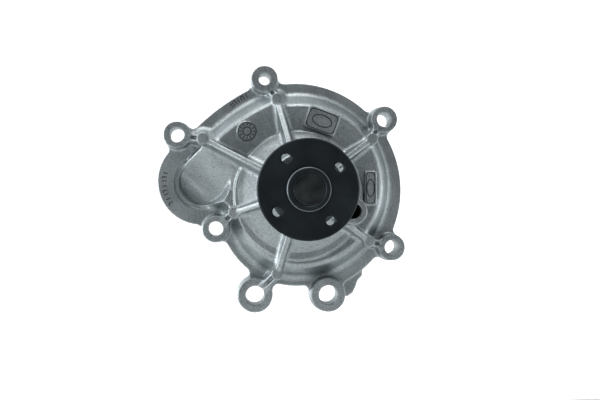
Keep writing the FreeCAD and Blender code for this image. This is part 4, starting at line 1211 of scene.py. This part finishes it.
def add_surroundings():
    """A light tent: white round the pump, dimmer right behind it, dark where the camera stands."""
    world = bpy.data.worlds.new("studio")
    bpy.context.scene.world = world
    world.use_nodes = True
    tree = world.node_tree

    def node(kind, **settings):
        made = tree.nodes.new(kind)
        for key, value in settings.items():
            setattr(made, key, value)
        return made

    def span(source, start, end, low, high):
        made = node("ShaderNodeMapRange", interpolation_type="SMOOTHSTEP")
        for key, value in zip(("From Min", "From Max", "To Min", "To Max"), (start, end, low, high)):
            made.inputs[key].default_value = value
        tree.links.new(source, made.inputs["Value"])
        return made.outputs["Result"]

    def times(first, second):
        made = node("ShaderNodeMath", operation="MULTIPLY")
        tree.links.new(first, made.inputs[0])
        tree.links.new(second, made.inputs[1])
        return made.outputs[0]

    direction = node("ShaderNodeTexCoord").outputs["Generated"]
    along = node("ShaderNodeSeparateXYZ")
    tree.links.new(direction, along.inputs[0])
    side = node("ShaderNodeVectorMath", operation="DOT_PRODUCT")
    side.inputs[1].default_value = TENT_BRIGHT_SIDE
    tree.links.new(direction, side.inputs[0])
    depth = times(span(along.outputs["Y"], *TENT_DEPTH), span(along.outputs["Y"], *TENT_BEHIND))
    level = times(depth, span(side.outputs["Value"], *TENT_SIDES))
    seen = tree.nodes["Background"]
    seen.inputs["Color"].default_value = (1.0, 1.0, 1.0, 1.0)
    lit = node("ShaderNodeBackground")
    lit.inputs["Color"].default_value = TENT_TINT
    tree.links.new(level, lit.inputs["Strength"])
    path = node("ShaderNodeLightPath")
    mix = node("ShaderNodeMixShader")
    tree.links.new(path.outputs["Is Camera Ray"], mix.inputs[0])
    tree.links.new(lit.outputs[0], mix.inputs[1])
    tree.links.new(seen.outputs[0], mix.inputs[2])
    tree.links.new(mix.outputs[0], tree.nodes["World Output"].inputs["Surface"])


def add_floor():
    """A plain pale floor well below the pump, which is shown held in the air."""
    corners = [(-FLOOR_HALF, -FLOOR_HALF), (FLOOR_HALF, -FLOOR_HALF),
               (FLOOR_HALF, FLOOR_BACK), (-FLOOR_HALF, FLOOR_BACK)]
    vertices = np.array([(x, y, FLOOR_LEVEL) for x, y in corners])
    floor = make_mesh("floor", vertices, np.array([[0, 1, 2, 3]]), smooth=False)
    look = Look("floor", specular=0.2)
    look.colour(look.ramp(look.noise(6.0), [(0.3, 0.84), (0.7, 0.87)]))
    look.roughness(look.noise(40.0), 0.8, 0.9)
    floor.data.materials.append(look.material)


add_camera()
add_surroundings()
add_softboxes()
add_floor()
dress_nodes()
build_housing().data.materials.append(LOOKS["cast_aluminium"])
# the raised marks wear the near-black painted-shade casting
build_marks().data.materials.append(LOOKS["casting_marks"])
bpy.context.scene.view_settings.view_transform = "Standard"
bpy.context.scene.view_settings.look = "High Contrast"
